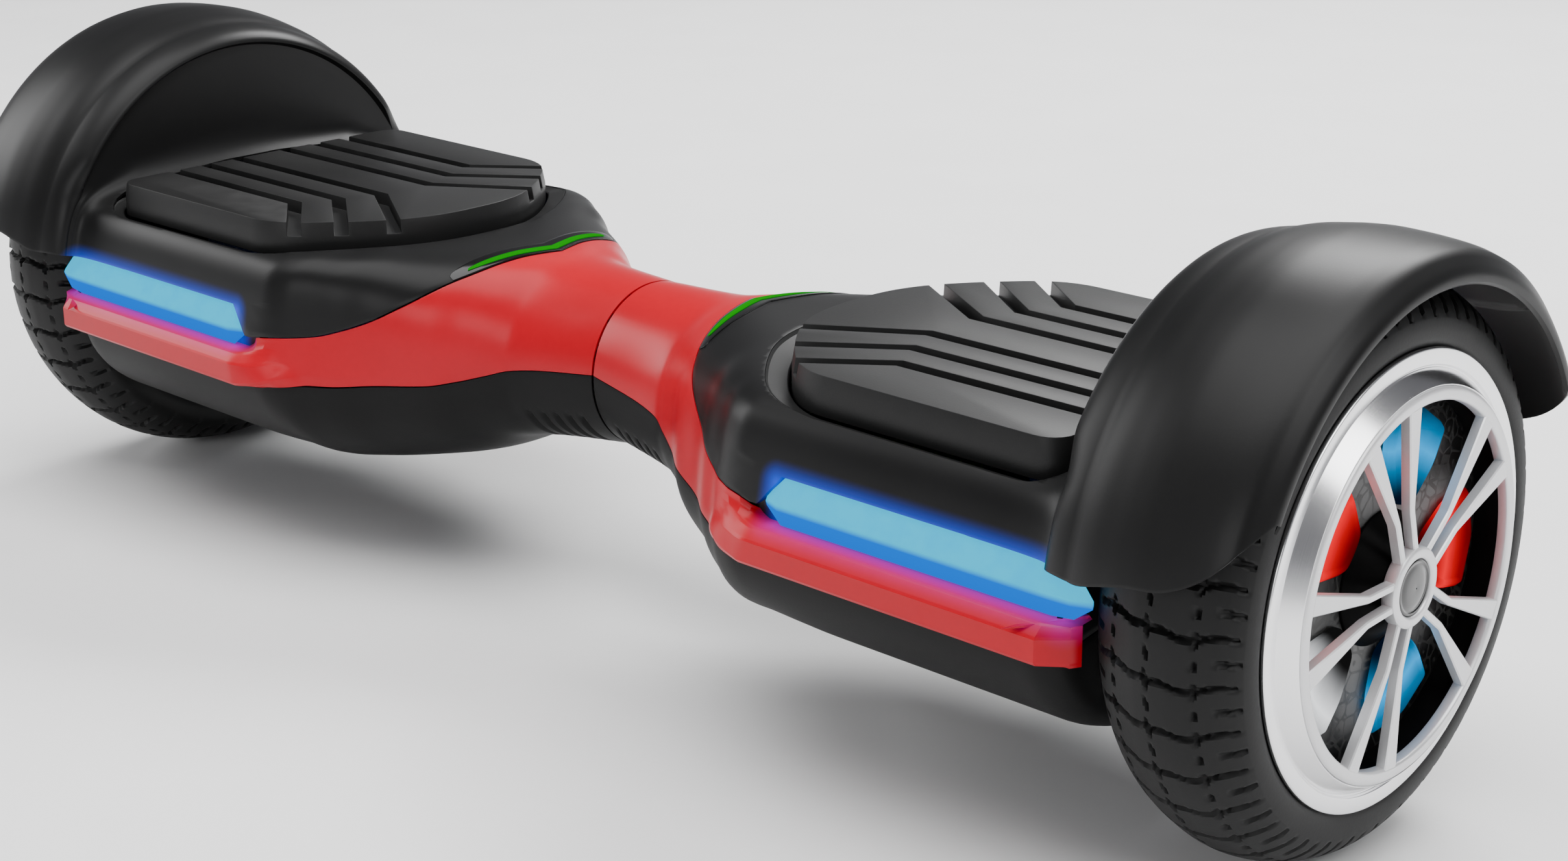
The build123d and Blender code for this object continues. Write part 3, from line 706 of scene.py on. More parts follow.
@dataclass(frozen=True)
class LitFinish:
    """A lit lamp cover, brighter in one part than in another; the white wheel lens that uses it is a painted
    reflection made to glow.

    Attributes:
        name: the material's name.
        bright: emitted colour where the mask is 1.
        dim: emitted colour where the mask is 0.
        strength: emission strength.
        split: heights in metres between which the dim part gives way to the bright one.
        ring: None, or the glow's middle radius about the axle and its half width, in metres.
        shade: share of the emitted colour that the cover itself has.
    """

    name: str
    bright: Colour
    dim: Colour
    strength: float
    split: Point = (0.0835, 0.0855)
    ring: Point | None = None
    shade: float = 0.1

    def make(self) -> bpy.types.Material:
        """The material, built the first time it is asked for."""
        known = bpy.data.materials.get(self.name)
        if known is not None:
            return known
        material = bpy.data.materials.new(self.name)
        material.use_nodes = True
        tree = material.node_tree
        shader = tree.nodes["Principled BSDF"]
        at = tree.nodes.new("ShaderNodeTexCoord").outputs["Object"]
        split = tree.nodes.new("ShaderNodeSeparateXYZ")
        tree.links.new(at, split.inputs[0])
        if self.ring is None:
            mask = spread(tree, split.outputs["Z"], self.split, (0.0, 1.0))
        else:
            middle, half = self.ring
            off = calc(tree, "ABSOLUTE", calc(tree, "SUBTRACT", from_axle(tree, split), middle))
            near = calc(tree, "SUBTRACT", 1.0, calc(tree, "DIVIDE", off, half), True)
            mask = calc(tree, "POWER", near, GLOW_FALL)
        cells = tree.nodes.new("ShaderNodeTexNoise")
        cells.inputs["Scale"].default_value = 160
        tree.links.new(at, cells.inputs["Vector"])
        mask = calc(tree, "MULTIPLY", mask, spread(tree, cells.outputs["Fac"], (0.2, 0.6), (0.88, 1.0)), True)
        glow = blend_colour(tree, mask, self.dim, self.bright)
        tree.links.new(glow, shader.inputs["Emission Color"])
        shader.inputs["Emission Strength"].default_value = self.strength
        tree.links.new(blend_colour(tree, mask, tuple(self.shade * c for c in self.dim),
                                    tuple(self.shade * c for c in self.bright)), shader.inputs["Base Color"])
        shader.inputs["Specular IOR Level"].default_value = 0.0
        tree.links.new(spread(tree, cells.outputs["Fac"], (0.3, 0.7), (0.34, 0.46)),
                       shader.inputs["Roughness"])
        return material


BLUE_HALO = (0.0, 0.10, 1.2)
SHELL = Finish("satin_black_shell", (0.0035, 0.0035, 0.0036), (0.006, 0.006, 0.006), (0.34, 0.42), gloss=0.2,
               size=0.55, depth=0.005, halo=BLUE_HALO, reach=0.0076)
LOWER = Finish("matt_black_shell", (0.006, 0.006, 0.006), (0.010, 0.010, 0.010), (0.42, 0.52), gloss=0.10,
               size=0.7, depth=0.012)
RED = Finish("gloss_red_shell", (0.40, 0.0008, 0.009), (0.46, 0.0012, 0.012), (0.28, 0.34),
             gloss=0.22, size=2.2, depth=0.001, halo=(0.30, 0.02, 0.55), reach=0.0095)
# Painted highlight: the step round the pad is the shell's own black, drawn a lighter grey to stand for the
# light it catches.
PAD_SEAT_HIGHLIGHT = Finish("pad_seat_painted_highlight", (0.009, 0.009, 0.009), (0.013, 0.013, 0.013), (0.42, 0.52), gloss=0.12,
              size=0.55, depth=0.008)
GLOSS = Finish("gloss_black_inset", (0.003, 0.003, 0.003), (0.006, 0.006, 0.006), (0.14, 0.20), coat=0.2,
               gloss=0.3, size=1.5, depth=0.001)
PAD = Finish("grooved_rubber", (0.005, 0.005, 0.005), (0.009, 0.009, 0.009), (0.42, 0.52), gloss=0.25,
             size=0.45, depth=0.014, wear=(0.022, 0.022, 0.022))
TYRE = Finish("tread_rubber", (0.004, 0.004, 0.004), (0.007, 0.007, 0.007), (0.46, 0.60), gloss=0.22,
              size=0.8, depth=0.012, wear=(0.010, 0.010, 0.010))
RIM = Finish("machined_rim", (0.86, 0.86, 0.87), (0.93, 0.93, 0.94), (0.20, 0.26), metal=1.0,
             pattern=Pattern.SPUN, size=0.25, depth=0.0001)
SPOKES = Finish("satin_silver", (0.66, 0.66, 0.67), (0.76, 0.76, 0.77), (0.34, 0.44), metal=0.55,
                size=0.3, depth=0.002)
WELL = Finish("well_black", (0.002, 0.002, 0.002), (0.004, 0.004, 0.004), (0.35, 0.5), gloss=0.03, size=1.2,
              depth=0.01)
CAP = Finish("hub_cap_black", (0.006, 0.006, 0.006), (0.012, 0.012, 0.012), (0.14, 0.22), coat=0.5,
             size=1.0, depth=0.003)
CAST = Finish("cast_alloy", (0.42, 0.43, 0.44), (0.58, 0.59, 0.60), (0.42, 0.62), metal=0.9, size=0.9,
              depth=0.05, wear=(0.75, 0.75, 0.76))
STEEL = Finish("zinc_steel", (0.42, 0.43, 0.45), (0.62, 0.62, 0.60), (0.28, 0.42), metal=1.0, size=0.5,
               depth=0.01, wear=(0.8, 0.8, 0.8))
GROUND = Finish("ground_steel", (0.50, 0.50, 0.52), (0.66, 0.66, 0.68), (0.16, 0.28), metal=1.0,
                pattern=Pattern.SPUN, size=0.25, depth=0.004)
MAGNET = Finish("nickel_magnet", (0.36, 0.36, 0.35), (0.52, 0.51, 0.49), (0.22, 0.36), metal=1.0,
                size=0.6, depth=0.01, wear=(0.25, 0.24, 0.22))
WOUND = Finish("wound_core", (0.16, 0.07, 0.03), (0.48, 0.21, 0.08), (0.28, 0.5), metal=0.7,
               pattern=Pattern.WEAVE, size=1.4, depth=0.25)
BOARD = Finish("printed_board", (0.006, 0.075, 0.028), (0.16, 0.28, 0.08), (0.28, 0.42), coat=0.3,
               pattern=Pattern.TRACKS, size=4.0, depth=0.05)
LAMP_BOARD = Finish("black_lamp_board", (0.004, 0.004, 0.004), (0.014, 0.014, 0.013), (0.3, 0.45),
                    pattern=Pattern.TRACKS, size=5.0, depth=0.04)
SLEEVE = Finish("braided_sleeve", (0.008, 0.008, 0.008), (0.035, 0.035, 0.035), (0.5, 0.75),
                pattern=Pattern.WEAVE, size=1.2, depth=0.15)
WRAP = Finish("blue_wrap", (0.012, 0.06, 0.22), (0.022, 0.10, 0.34), (0.22, 0.38), size=9.0,
              depth=0.12, wear=(0.1, 0.2, 0.45))
PORT = Finish("port_plastic", (0.014, 0.014, 0.014), (0.022, 0.022, 0.022), (0.34, 0.48), size=0.5,
              depth=0.012, wear=(0.04, 0.04, 0.04))
FLAP = Finish("soft_rubber", (0.014, 0.014, 0.014), (0.026, 0.026, 0.026), (0.55, 0.7), size=0.4,
              depth=0.02)
BUTTON = Finish("brushed_button", (0.55, 0.55, 0.57), (0.72, 0.72, 0.74), (0.2, 0.32), metal=1.0,
                size=0.3, depth=0.005, wear=(0.9, 0.9, 0.9))
BRONZE = Finish("sintered_bronze", (0.40, 0.23, 0.09), (0.58, 0.38, 0.16), (0.35, 0.55), metal=1.0,
                size=0.35, depth=0.03)
LAMP = LitFinish("lamp_cyan", (0.0, 0.66, 1.05), (0.0, 0.17, 0.90), 1.0, split=(0.0862, 0.0880))
GREEN = LitFinish("strip_green", (0.0, 0.34, 0.01), (0.0, 0.26, 0.008), 0.9, split=(0.06, 0.1))
LENS_RED = LitFinish("glow_lens_red", (1.0, 0.0, 0.012), (0.02, 0.0, 0.0), 1.3, ring=(0.034, 0.015))
LENS_CYAN = LitFinish("glow_lens_cyan", (0.0, 0.42, 0.95), (0.0, 0.004, 0.014), 1.2,
                      ring=(0.036, 0.014))
# Painted reflection: the white lens stands for a reflection inside the wheel and glows though no lamp is
# there.
LENS_WHITE_REFLECTION = LitFinish("painted_reflection_glow_white", (0.90, 0.92, 0.95), (0.004, 0.004, 0.004), 1.6,
                       ring=(0.040, 0.014))

CAD_FINISHES: dict[str, Finish] = {
    "chassis": CAST, "axle_clamp": CAST, "clamp_bolts": STEEL, "shell_screws": STEEL,
    "sensor_board": BOARD, "axle": GROUND, "stator": WOUND, "inner_cover": CAST,
    "wheel_bearings": GROUND, "magnets": MAGNET, "led_board": LAMP_BOARD, "pivot_tube": STEEL,
    "pivot_bush": BRONZE, "pivot_ring": STEEL, "wire_loom": SLEEVE, "battery": WRAP,
    "control_board": BOARD, "charge_socket": PORT, "charge_cap": FLAP, "button_bezel": PORT,
    "power_button": BUTTON,
}


def wheel_centre() -> Vector:
    """The right wheel's centre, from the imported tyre."""
    low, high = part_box("right_tyre")
    return (low + high) / 2


WHEEL = wheel_centre()
AXLE_Z = WHEEL.z / MM


def dress(piece: bpy.types.Object, finish: Finish | LitFinish, body: str, slot: str,
          *nodes: str) -> None:
    """Gives a piece its finish, its body and the nodes it stands for.

    Args:
        piece: the piece.
        finish: its finish.
        body: the body it moves with.
        slot: name of a material slot; not used.
        nodes: the CAD nodes it replaces.
    """
    piece.data.materials.clear()
    piece.data.materials.append(finish.make())
    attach(piece, body)
    if nodes:
        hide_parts(*nodes)
    LOG.info("%s: %d faces, on %s", piece.name, len(piece.data.polygons), body)


# ---------------------------------------------------------------- the body's form


class BodyForm:
    """The outer form of one half's body, from the twist joint to the wheel.

    Each cross-section is a superellipse whose sizes change along the half. A point on it is
    named by its distance from the joint and its angle about the axle's line, 0 at the front,
    90 on top and 180 at the rear.
    """

    half = Curve((0, 28), (35, 34), (43, 38), (52, 43), (60, 49), (80, 60), (89, 67), (97, 72),
                 (106, 78), (114, 80.3), (240, 80.3))
    top = Curve((0, 112), (30, 113), (45, 114.8), (60, 116), (240, 116))
    bottom = Curve((0, 56), (37, 52), (47, 50), (60, 43), (80, 37.5), (97, 34.5), (114, 32.5),
                   (140, 31), (240, 31))
    middle = Curve((0, 84), (35, 80), (60, 76), (80, 75), (240, 75))
    square_up = Curve((0, 2), (35, 2.1), (47, 2.6), (60, 3.2), (80, 5), (97, 7.5), (114, 9), (240, 9))
    square_low = Curve((0, 2), (60, 2.4), (100, 2.5), (114, 2.2), (240, 2.2))
    slant = Curve((0, 0), (50, 0), (80, 4), (114, 8), (240, 8))
    red_edge = Curve((2.4, 119.1), (3.2, 114.4), (3.9, 106.5), (5, 96.6), (7.1, 89.2), (11.5, 80.3),
                     (17.3, 72.4), (23.5, 66), (30.8, 60.9), (43.6, 54.8), (56, 51.4), (70, 48.6),
                     (80, 46.6), (90, 44.9))
    low_edge = Curve((0, 7.1), (35, -1.8), (43, -5.5), (52, -8.6), (60, -9.7), (80, -9.6), (100, -8.4),
                     (108, -8.0), (115, -9.2), (240, -9.2))

    def radius(self, x: np.ndarray, angle: np.ndarray) -> np.ndarray:
        """Distance from the axle's line to the form.

        Args:
            x: distance from the twist joint.
            angle: angle about the axle's line in degrees.

        Returns:
            The distances.
        """
        x, angle = np.broadcast_arrays(np.asarray(x, float), np.radians(angle))
        half, mid = self.half(x), self.middle(x)
        rise, drop = self.top(x) - mid, mid - self.bottom(x)
        up, down, lean = self.square_up(x), self.square_low(x), self.slant(x)
        low, high = np.full(x.shape, 2.0), np.full(x.shape, 140.0)
        for _ in range(30):
            r = (low + high) / 2
            y, z = np.abs(r * np.cos(angle)), AXLE_Z + r * np.sin(angle) - mid
            share = np.clip(z / rise, 0, 1.4)
            above = (y / (half - lean * np.minimum(share, 1))) ** up + share ** up
            below = (y / half) ** down + np.clip(-z / drop, 0, 2) ** down
            inside = np.where(z >= 0, above, below) < 1
            low, high = np.where(inside, r, low), np.where(inside, high, r)
        return (low + high) / 2

    def height(self, x: np.ndarray, y: np.ndarray) -> np.ndarray:
        """Height of the form's upper surface over a place in plan.

        Args:
            x: distance from the twist joint.
            y: distance from the middle, front to rear.

        Returns:
            The heights.
        """
        half, lean, power = self.half(x), self.slant(x), self.square_up(x)
        low, high = np.zeros(x.shape), np.ones(x.shape)
        for _ in range(24):
            share = (low + high) / 2
            inside = (np.abs(y) / (half - lean * share)) ** power + share ** power < 1
            low, high = np.where(inside, share, low), np.where(inside, high, share)
        return self.middle(x) + (self.top(x) - self.middle(x)) * low

    def point(self, x: np.ndarray, angle: np.ndarray, lift: np.ndarray | float = 0.0) -> np.ndarray:
        """Points on the form.

        Args:
            x: distance from the twist joint.
            angle: angle about the axle's line in degrees.
            lift: height above the form.

        Returns:
            An array of points.
        """
        x, angle = np.broadcast_arrays(np.asarray(x, float), np.asarray(angle, float))
        r = self.radius(x, angle) + lift
        return polar(x, r, angle)


def polar(x: np.ndarray, r: np.ndarray, angle: np.ndarray) -> np.ndarray:
    """Points at a distance and an angle about the axle's line."""
    a = np.radians(angle)
    return np.stack(np.broadcast_arrays(x, -r * np.cos(a), AXLE_Z + r * np.sin(a)), -1)


FORM = BodyForm()


def both_ways(front: np.ndarray) -> np.ndarray:
    """A sheet joined to its mirror image at the rear.

    Args:
        front: the front half, which ends on the top or bottom line.

    Returns:
        The whole sheet.
    """
    rear = front[::-1].copy() * np.array([1.0, -1.0, 1.0])
    return np.concatenate([front, rear[1:]])


# ---------------------------------------------------------------- shells


@dataclass
class SideTrim:
    """The glossy shell round the twist joint, its arms along the front and rear, and bumpers.

    Attributes:
        start: half of the gap at the twist joint.
        gap: gap to the neighbouring shells.
        ledge: angle of the ledge under the light bar.
        face_end: where the bumper's face ends.
        bumper: the bumper's outline (y, z) from its lower edge.
        stops: share of the outline's length at each of its points.
    """

    start: float = 0.5
    gap: float = 0.35
    ledge: float = 2.4
    face_end: float = 227.0
    bumper: tuple[Point, ...] = ((-79.6, 69.4), (-84.4, 69.8), (-85.2, 70.8), (-85.2, 77.2),
                                 (-84.7, 78.0), (-82.2, 80.3), (-81.2, 80.7), (-72.0, 81.4))
    stops: tuple[float, ...] = (0.0, 0.14, 0.2, 0.46, 0.52, 0.7, 0.76, 1.0)

    def columns(self) -> tuple[np.ndarray, np.ndarray, np.ndarray]:
        """The sheet's edges, column by column.

        Returns:
            The upper edge's x, the upper edge's angle and the lower edge's x.
        """
        crest = np.linspace(self.start, 44.9 - self.gap, 30)
        fall = np.concatenate([np.linspace(90, 25, 40)[1:], np.linspace(25, self.ledge, 40)[1:]])
        arm = np.linspace(119.1, self.face_end, 60)[1:]
        upper_x = np.concatenate([crest, FORM.red_edge(fall) - self.gap, arm])
        upper_a = np.concatenate([np.full(30, 90.0), fall, np.full(len(arm), self.ledge)])
        lower_x = np.concatenate([np.linspace(self.start, 30, 30), np.linspace(30, 119, len(fall) + 1)[1:],
                                  arm])
        return upper_x, upper_a, lower_x

    def profile(self, share: np.ndarray) -> np.ndarray:
        """The bumper's outline.

        Args:
            share: shares of its length from its lower edge.

        Returns:
            Its points (y, z).
        """
        points = np.array(self.bumper)
        return np.stack([np.interp(share, self.stops, points[:, axis]) for axis in (0, 1)], -1)

    def build(self, side: Side) -> None:
        """Builds one half's trim."""
        upper_x, upper_a, lower_x = self.columns()
        share = np.unique(np.concatenate([np.linspace(0, 1, 33), self.stops]))
        v = share[:, None]
        x = lower_x[None, :] * (1 - v) + upper_x[None, :] * v
        low = FORM.low_edge(lower_x) + 0.25
        a = low[None, :] * (1 - v) + upper_a[None, :] * v
        points = FORM.point(x, a)
        outline = self.profile(np.broadcast_to(v, x.shape))
        on = ramp(x, 97 + 19 * v, 120 + 5 * v) * (a < 20)
        for axis in (1, 2):
            points[..., axis] += on * (outline[..., axis - 1] - points[..., axis])
        cap = points[:, -1:, :].repeat(3, 1)
        cap[:, 0, 0], cap[:, 0, 1] = 234.0, np.maximum(cap[:, 0, 1], -79.0)
        cap[:, 1, 0], cap[:, 1, 1] = 235.6, np.maximum(cap[:, 1, 1], -76.0)
        cap[:, 2, 0], cap[:, 2, 1] = 229.5, np.maximum(cap[:, 2, 1], -70.0)
        front = np.concatenate([points, cap], 1)
        draft = Draft()
        draft.grid(front)
        draft.grid(front * np.array([1.0, -1.0, 1.0]))
        piece = draft.piece(side.named("trim_shell"), side, 24, (0, AXLE_Z))
        thicken(piece, 2.4)
        soften(piece, 0.45, 50)
        freeze(piece)
        smooth(piece, 22)
        dress(piece, RED, side.named("half"), "trim_red", side.named("side_trim"))
        if side is Side.RIGHT:
            self.seal(side)

    @staticmethod
    def seal(side: Side) -> None:
        """Builds the dust seal behind the seam of the twist joint.

        Args:
            side: the half that carries it.
        """
        band = rounded([(-2.0, 23.4, 0.3), (-2.0, 24.9, 0.4), (2.0, 24.9, 0.4), (2.0, 23.4, 0.3)], 3)
        draft = Draft()
        draft.lathe(band, (0.0, float(FORM.middle(0.0))), 96)
        dress(draft.piece(side.named("seam_seal"), side, 35), LOWER, side.named("half"), "shell_lower")


@dataclass
class TopShell:
    """The satin shell: deck, arch wall and fender over the wheel, with the foot pad's pocket.

    Attributes:
        gap: gap to the trim.
        edge: angle of its edge above the light bar.
        flare: where the deck starts to rise into the fender.
        wall: where the arch wall stands.
        wall_t: thickness of the moulding.
        crest: radius up to which the arch wall rises.
        step_bands: levels round the pad's step, as (distance from the pad, share of the step's
            width, share of its height, drop).
        crown: radius of the fender's top across the wheel.
        lower: angle of the shell's lower edge.
    """

    gap: float = 0.35
    edge: float = 9.7
    flare: float = 198.0
    wall: float = 226.5
    wall_t: float = 4.2
    crest: float = 86.6
    step_bands: tuple[tuple[float, float, float, float], ...] = (
        (0.9, 0.0, 0.0, 5.0), (0.9, 0.0, 0.0, 0.4), (1.3, 0.0, 0.0, 0.0), (1.3, 0.86, 0.62, 0.0),
        (1.3, 0.97, 0.97, 0.0), (1.3, 1.0, 0.97, 0.5), (1.3, 1.0, 0.97, 3.0), (1.6, 0.0, 0.0, 5.0),
        (0.9, 0.0, 0.0, 5.0))
    crown = Curve((238, 88.1), (240, 88.9), (245, 90.3), (250, 91.1), (255, 91.8), (262, 92.3),
                  (270, 92.1), (276, 91.7), (281, 91.1), (285.2, 89.9))
    lower = Curve((0, 9.7), (232, 9.6), (240, 9.4), (250, 10.8), (258, 12.0), (266, 12.6), (273, 14.2),
                  (279, 16.8), (284, 20.4), (288, 25.0), (290, 28.0))

    def rise(self, base: np.ndarray) -> np.ndarray:
        """The run from the deck over the fender to its lip.

        Args:
            base: radius of the deck where the run starts, one for each row.

        Returns:
            An array of rows by points by (x, radius).
        """
        rows = []
        for r in base:
            tall = self.crest - r
            fillet, roll = min(17.0, 0.5 * tall), min(5.6, 0.42 * tall)
            step = 1.9 * float(ease(tall, 14, 30))
            foot = bend((self.flare, r), (self.wall - 0.5 * fillet, r), (self.wall, r + 0.35 * fillet),
                        (self.wall + 0.4, r + fillet), 16)
            top = (self.wall + 1.0, self.crest - roll)
            wall = np.linspace(foot[-1], top, 7)[1:]
            start = (top[0] - step, top[1] + 0.25 + 0.5 * step)
            over = bend(start, (start[0] + 0.4, start[1] + 0.62 * roll), (231.5, 87.3), (238, 88.1), 14)
            x = np.linspace(238, 285.2, 26)[1:]
            lip = np.array([(286.7, 88.3), (288.2, 86.6), (289.5, 85.0), (289.9, 83.8), (289.9, 82.2),
                            (289.0, 81.4)])
            rows.append(np.concatenate([foot, wall, over, np.stack([x, self.crown(x)], 1), lip]))
        return np.array(rows)

    def sheet(self) -> np.ndarray:
        """The front half of the shell's outer sheet.

        Returns:
            An array of rows by columns by 3.
        """
        v = np.concatenate([np.linspace(0, 0.34, 46), np.linspace(0.34, 1, 36)[1:]])[:, None]
        angle = 2.4 + v * 87.6
        start = FORM.red_edge(angle) + self.gap
        s = np.linspace(0, 1, 58)[None, :]
        foot = start[0, 0] + s * (self.flare - start[0, 0])
        low = 2.6 + (self.edge - 2.6) * ramp(foot, 122.5, 130.4)
        x = start * (1 - s) + self.flare * s
        deck = FORM.point(x, low + v * (90 - low))
        base = FORM.radius(np.full(len(v), self.flare), (self.edge + v * (90 - self.edge))[:, 0])
        run = self.rise(base)
        low = self.lower(run[0, :, 0])[None, :]
        over = polar(run[..., 0], run[..., 1], low + v * (90 - low))
        return np.concatenate([deck[:, :-1], over], 1)

    def end_wall(self) -> np.ndarray:
        """The wall below the deck that closes the body beside the wheel.

        Returns:
            The front half of its sheet.
        """
        angle = np.linspace(-8.6, 90, 60)[:, None]
        outer = FORM.radius(np.full(60, 224.0), angle[:, 0])[:, None] - 2.2
        r = outer + (12.0 - outer) * np.linspace(0, 1, 10)[None, :]
        return polar(np.full(r.shape, 229.6), r, angle)

    def build(self, side: Side) -> None:
        """Builds one half's shell."""
        draft = Draft()
        draft.grid(both_ways(self.sheet()))
        piece = draft.piece(side.named("deck_shell"), side, 30, (0, AXLE_Z))
        thicken(piece, self.wall_t)
        carve(piece, [self.pocket_tool(side)])
        soften(piece, 0.4, 48)
        freeze(piece)
        smooth(piece, 30)
        dress(piece, SHELL, side.named("half"), "shell_black", side.named("top_shell"))
        wall = Draft()
        wall.grid(both_ways(self.end_wall()))
        plate = wall.piece(side.named("deck_end_wall"), side, 30)
        thicken(plate, 1.6)
        freeze(plate)
        dress(plate, LOWER, side.named("half"), "shell_black")
        self.ledge(side)

    @staticmethod
    def step() -> tuple[np.ndarray, np.ndarray]:
        """The pad's outline, and how wide the sloped step round it is at each point."""
        outline = FootPad.outline()
        return outline, 4.8 + 3.0 * ease(-outline[:, 0], -132, -112)

    def pocket_tool(self, side: Side) -> bpy.types.Object:
        """The tool that cuts the pad's pocket.

        Args:
            side: the half.

        Returns:
            The tool.
        """
        outline, step = self.step()
        flat = swell(outline, step)
        draft = Draft()
        draft.stack([np.column_stack([flat, np.full(len(flat), z)]) for z in (100.0, 122.0)])
        return draft.piece("pocket_tool", side)

    def ledge(self, side: Side) -> None:
        """Builds the sloped step that runs round the foot pad, dressed lighter grey than the shell as a
        painted highlight.

        Args:
            side: the half.
        """
        outline, step = self.step()
        outer = swell(outline, step)
        brim = FORM.height(outer[:, 0], outer[:, 1])
        foot = np.minimum(brim - 1.2, 113.2)
        levels = []
        for near, share, lift, drop in self.step_bands:
            flat = swell(outline, step * share + (1 - share) * near)
            levels.append(np.column_stack([flat, foot + (brim - foot) * lift - drop]))
        draft = Draft()
        draft.grid(np.array(levels).transpose(1, 0, 2), wrap=True)
        # The lighter grey here is a painted highlight on the step, which is the shell's black.
        dress(draft.piece(side.named("pad_seat"), side, 25), PAD_SEAT_HIGHLIGHT, side.named("half"), "shell_black")


@dataclass
class BottomShell:
    """The lower shell with the ribbed neck, its screw wells and the closing wall.

    Attributes:
        end: where its end wall stands.
        rib: pitch of the ribs under the neck.
        screws: places (x, y) of the screws.
        well_r: radius of a screw well's hole in the shell.
    """

    end: float = 229.0
    rib: float = 5.5
    screws: tuple[Point, ...] = ((100, 34), (100, -34), (205, 40), (205, -40))
    well_r: float = 4.4

    def sheet(self) -> np.ndarray:
        """The front half of the outer sheet, from the trim's edge to the bottom line.

        Returns:
            An array of rows by columns by 3.
        """
        x = np.concatenate([np.arange(0.5, 40, 0.55), np.linspace(40, 219, 76)])
        v = np.linspace(0, 1, 40)[:, None]
        low = FORM.low_edge(x)[None, :] - 0.25
        a = low + v * (-90 - low)
        phase = np.mod(x - 6.0, self.rib) / self.rib
        groove = ease(np.abs(phase - 0.5), 0.12, 0.24) - 1
        groove = groove * ease(x, 6, 7) * ease(-x, -34, -33)
        cut = 1.5 * groove[None, :] * ease(-a, 24, 32)
        body = FORM.point(np.broadcast_to(x, a.shape), a, cut)
        turn = np.linspace(0, 90, 9)[1:]
        tail_x = 219 + 10 * np.sin(np.radians(turn))
        tail_drop = 10 * (1 - np.cos(np.radians(turn)))
        tail = FORM.point(np.broadcast_to(tail_x, (len(v), len(turn))), a[:, -1:], -tail_drop[None, :])
        tail[..., 0] = tail_x
        middle = tail[:, -1:, :]
        shrink = np.linspace(1, 0.16, 9)[None, 1:, None]
        centre = np.array([self.end, 0.0, AXLE_Z])
        inward = centre + (middle - centre) * shrink
        return np.concatenate([body, tail, inward], 1)

    def build(self, side: Side) -> None:
        """Builds one half's lower shell with its screw wells."""
        draft = Draft()
        draft.grid(both_ways(self.sheet()))
        piece = draft.piece(side.named("lower_shell"), side, 30, (0, AXLE_Z))
        thicken(piece, 2.4)
        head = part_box(side.named("shell_screws"))[1].z / MM
        tools = []
        for x, y in self.screws:
            tool = Draft()
            ring = np.array([(x + self.well_r * math.cos(t), y + self.well_r * math.sin(t))
                             for t in np.linspace(0, 2 * math.pi, 32, endpoint=False)])
            tool.stack([np.column_stack([ring, np.full(32, z)]) for z in (20.0, 50.0)])
            tools.append(tool.piece("well_tool", side))
        carve(piece, tools)
        soften(piece, 0.4, 50)
        freeze(piece)
        smooth(piece, 30)
        dress(piece, LOWER, side.named("half"), "shell_lower", side.named("bottom_shell"))
        for index, (x, y) in enumerate(self.screws):
            self.well(side, index, x, y, head)

    @staticmethod
    def well(side: Side, index: int, x: float, y: float, head: float) -> None:
        """The sleeve of one screw well.

        Args:
            side: the half.
            index: its number.
            x: its place along the half.
            y: its place across.
            head: height of the screw's top.
        """
        flat = (abs(y) + 4.9) / float(FORM.half(x))
        power = float(FORM.square_low(x))
        drop = float(FORM.middle(x) - FORM.bottom(x))
        low = float(FORM.middle(x)) - drop * (1 - flat ** power) ** (1 / power) + 1.0
        t = np.linspace(0, 2 * math.pi, 40, endpoint=False)[:, None]
        profile = np.array([(4.0, low), (4.9, low), (4.9, head), (3.7, head), (3.7, low + 14),
                            (4.0, low + 13), (4.0, low)])
        ring = np.stack(np.broadcast_arrays(x + profile[:, 0] * np.cos(t), y + profile[:, 0] * np.sin(t),
                                            profile[:, 1]), -1)
        draft = Draft()
        draft.grid(ring, wrap=True)
        dress(draft.piece(side.named(f"screw_well_{index}"), side), LOWER, side.named("half"), "shell_lower")


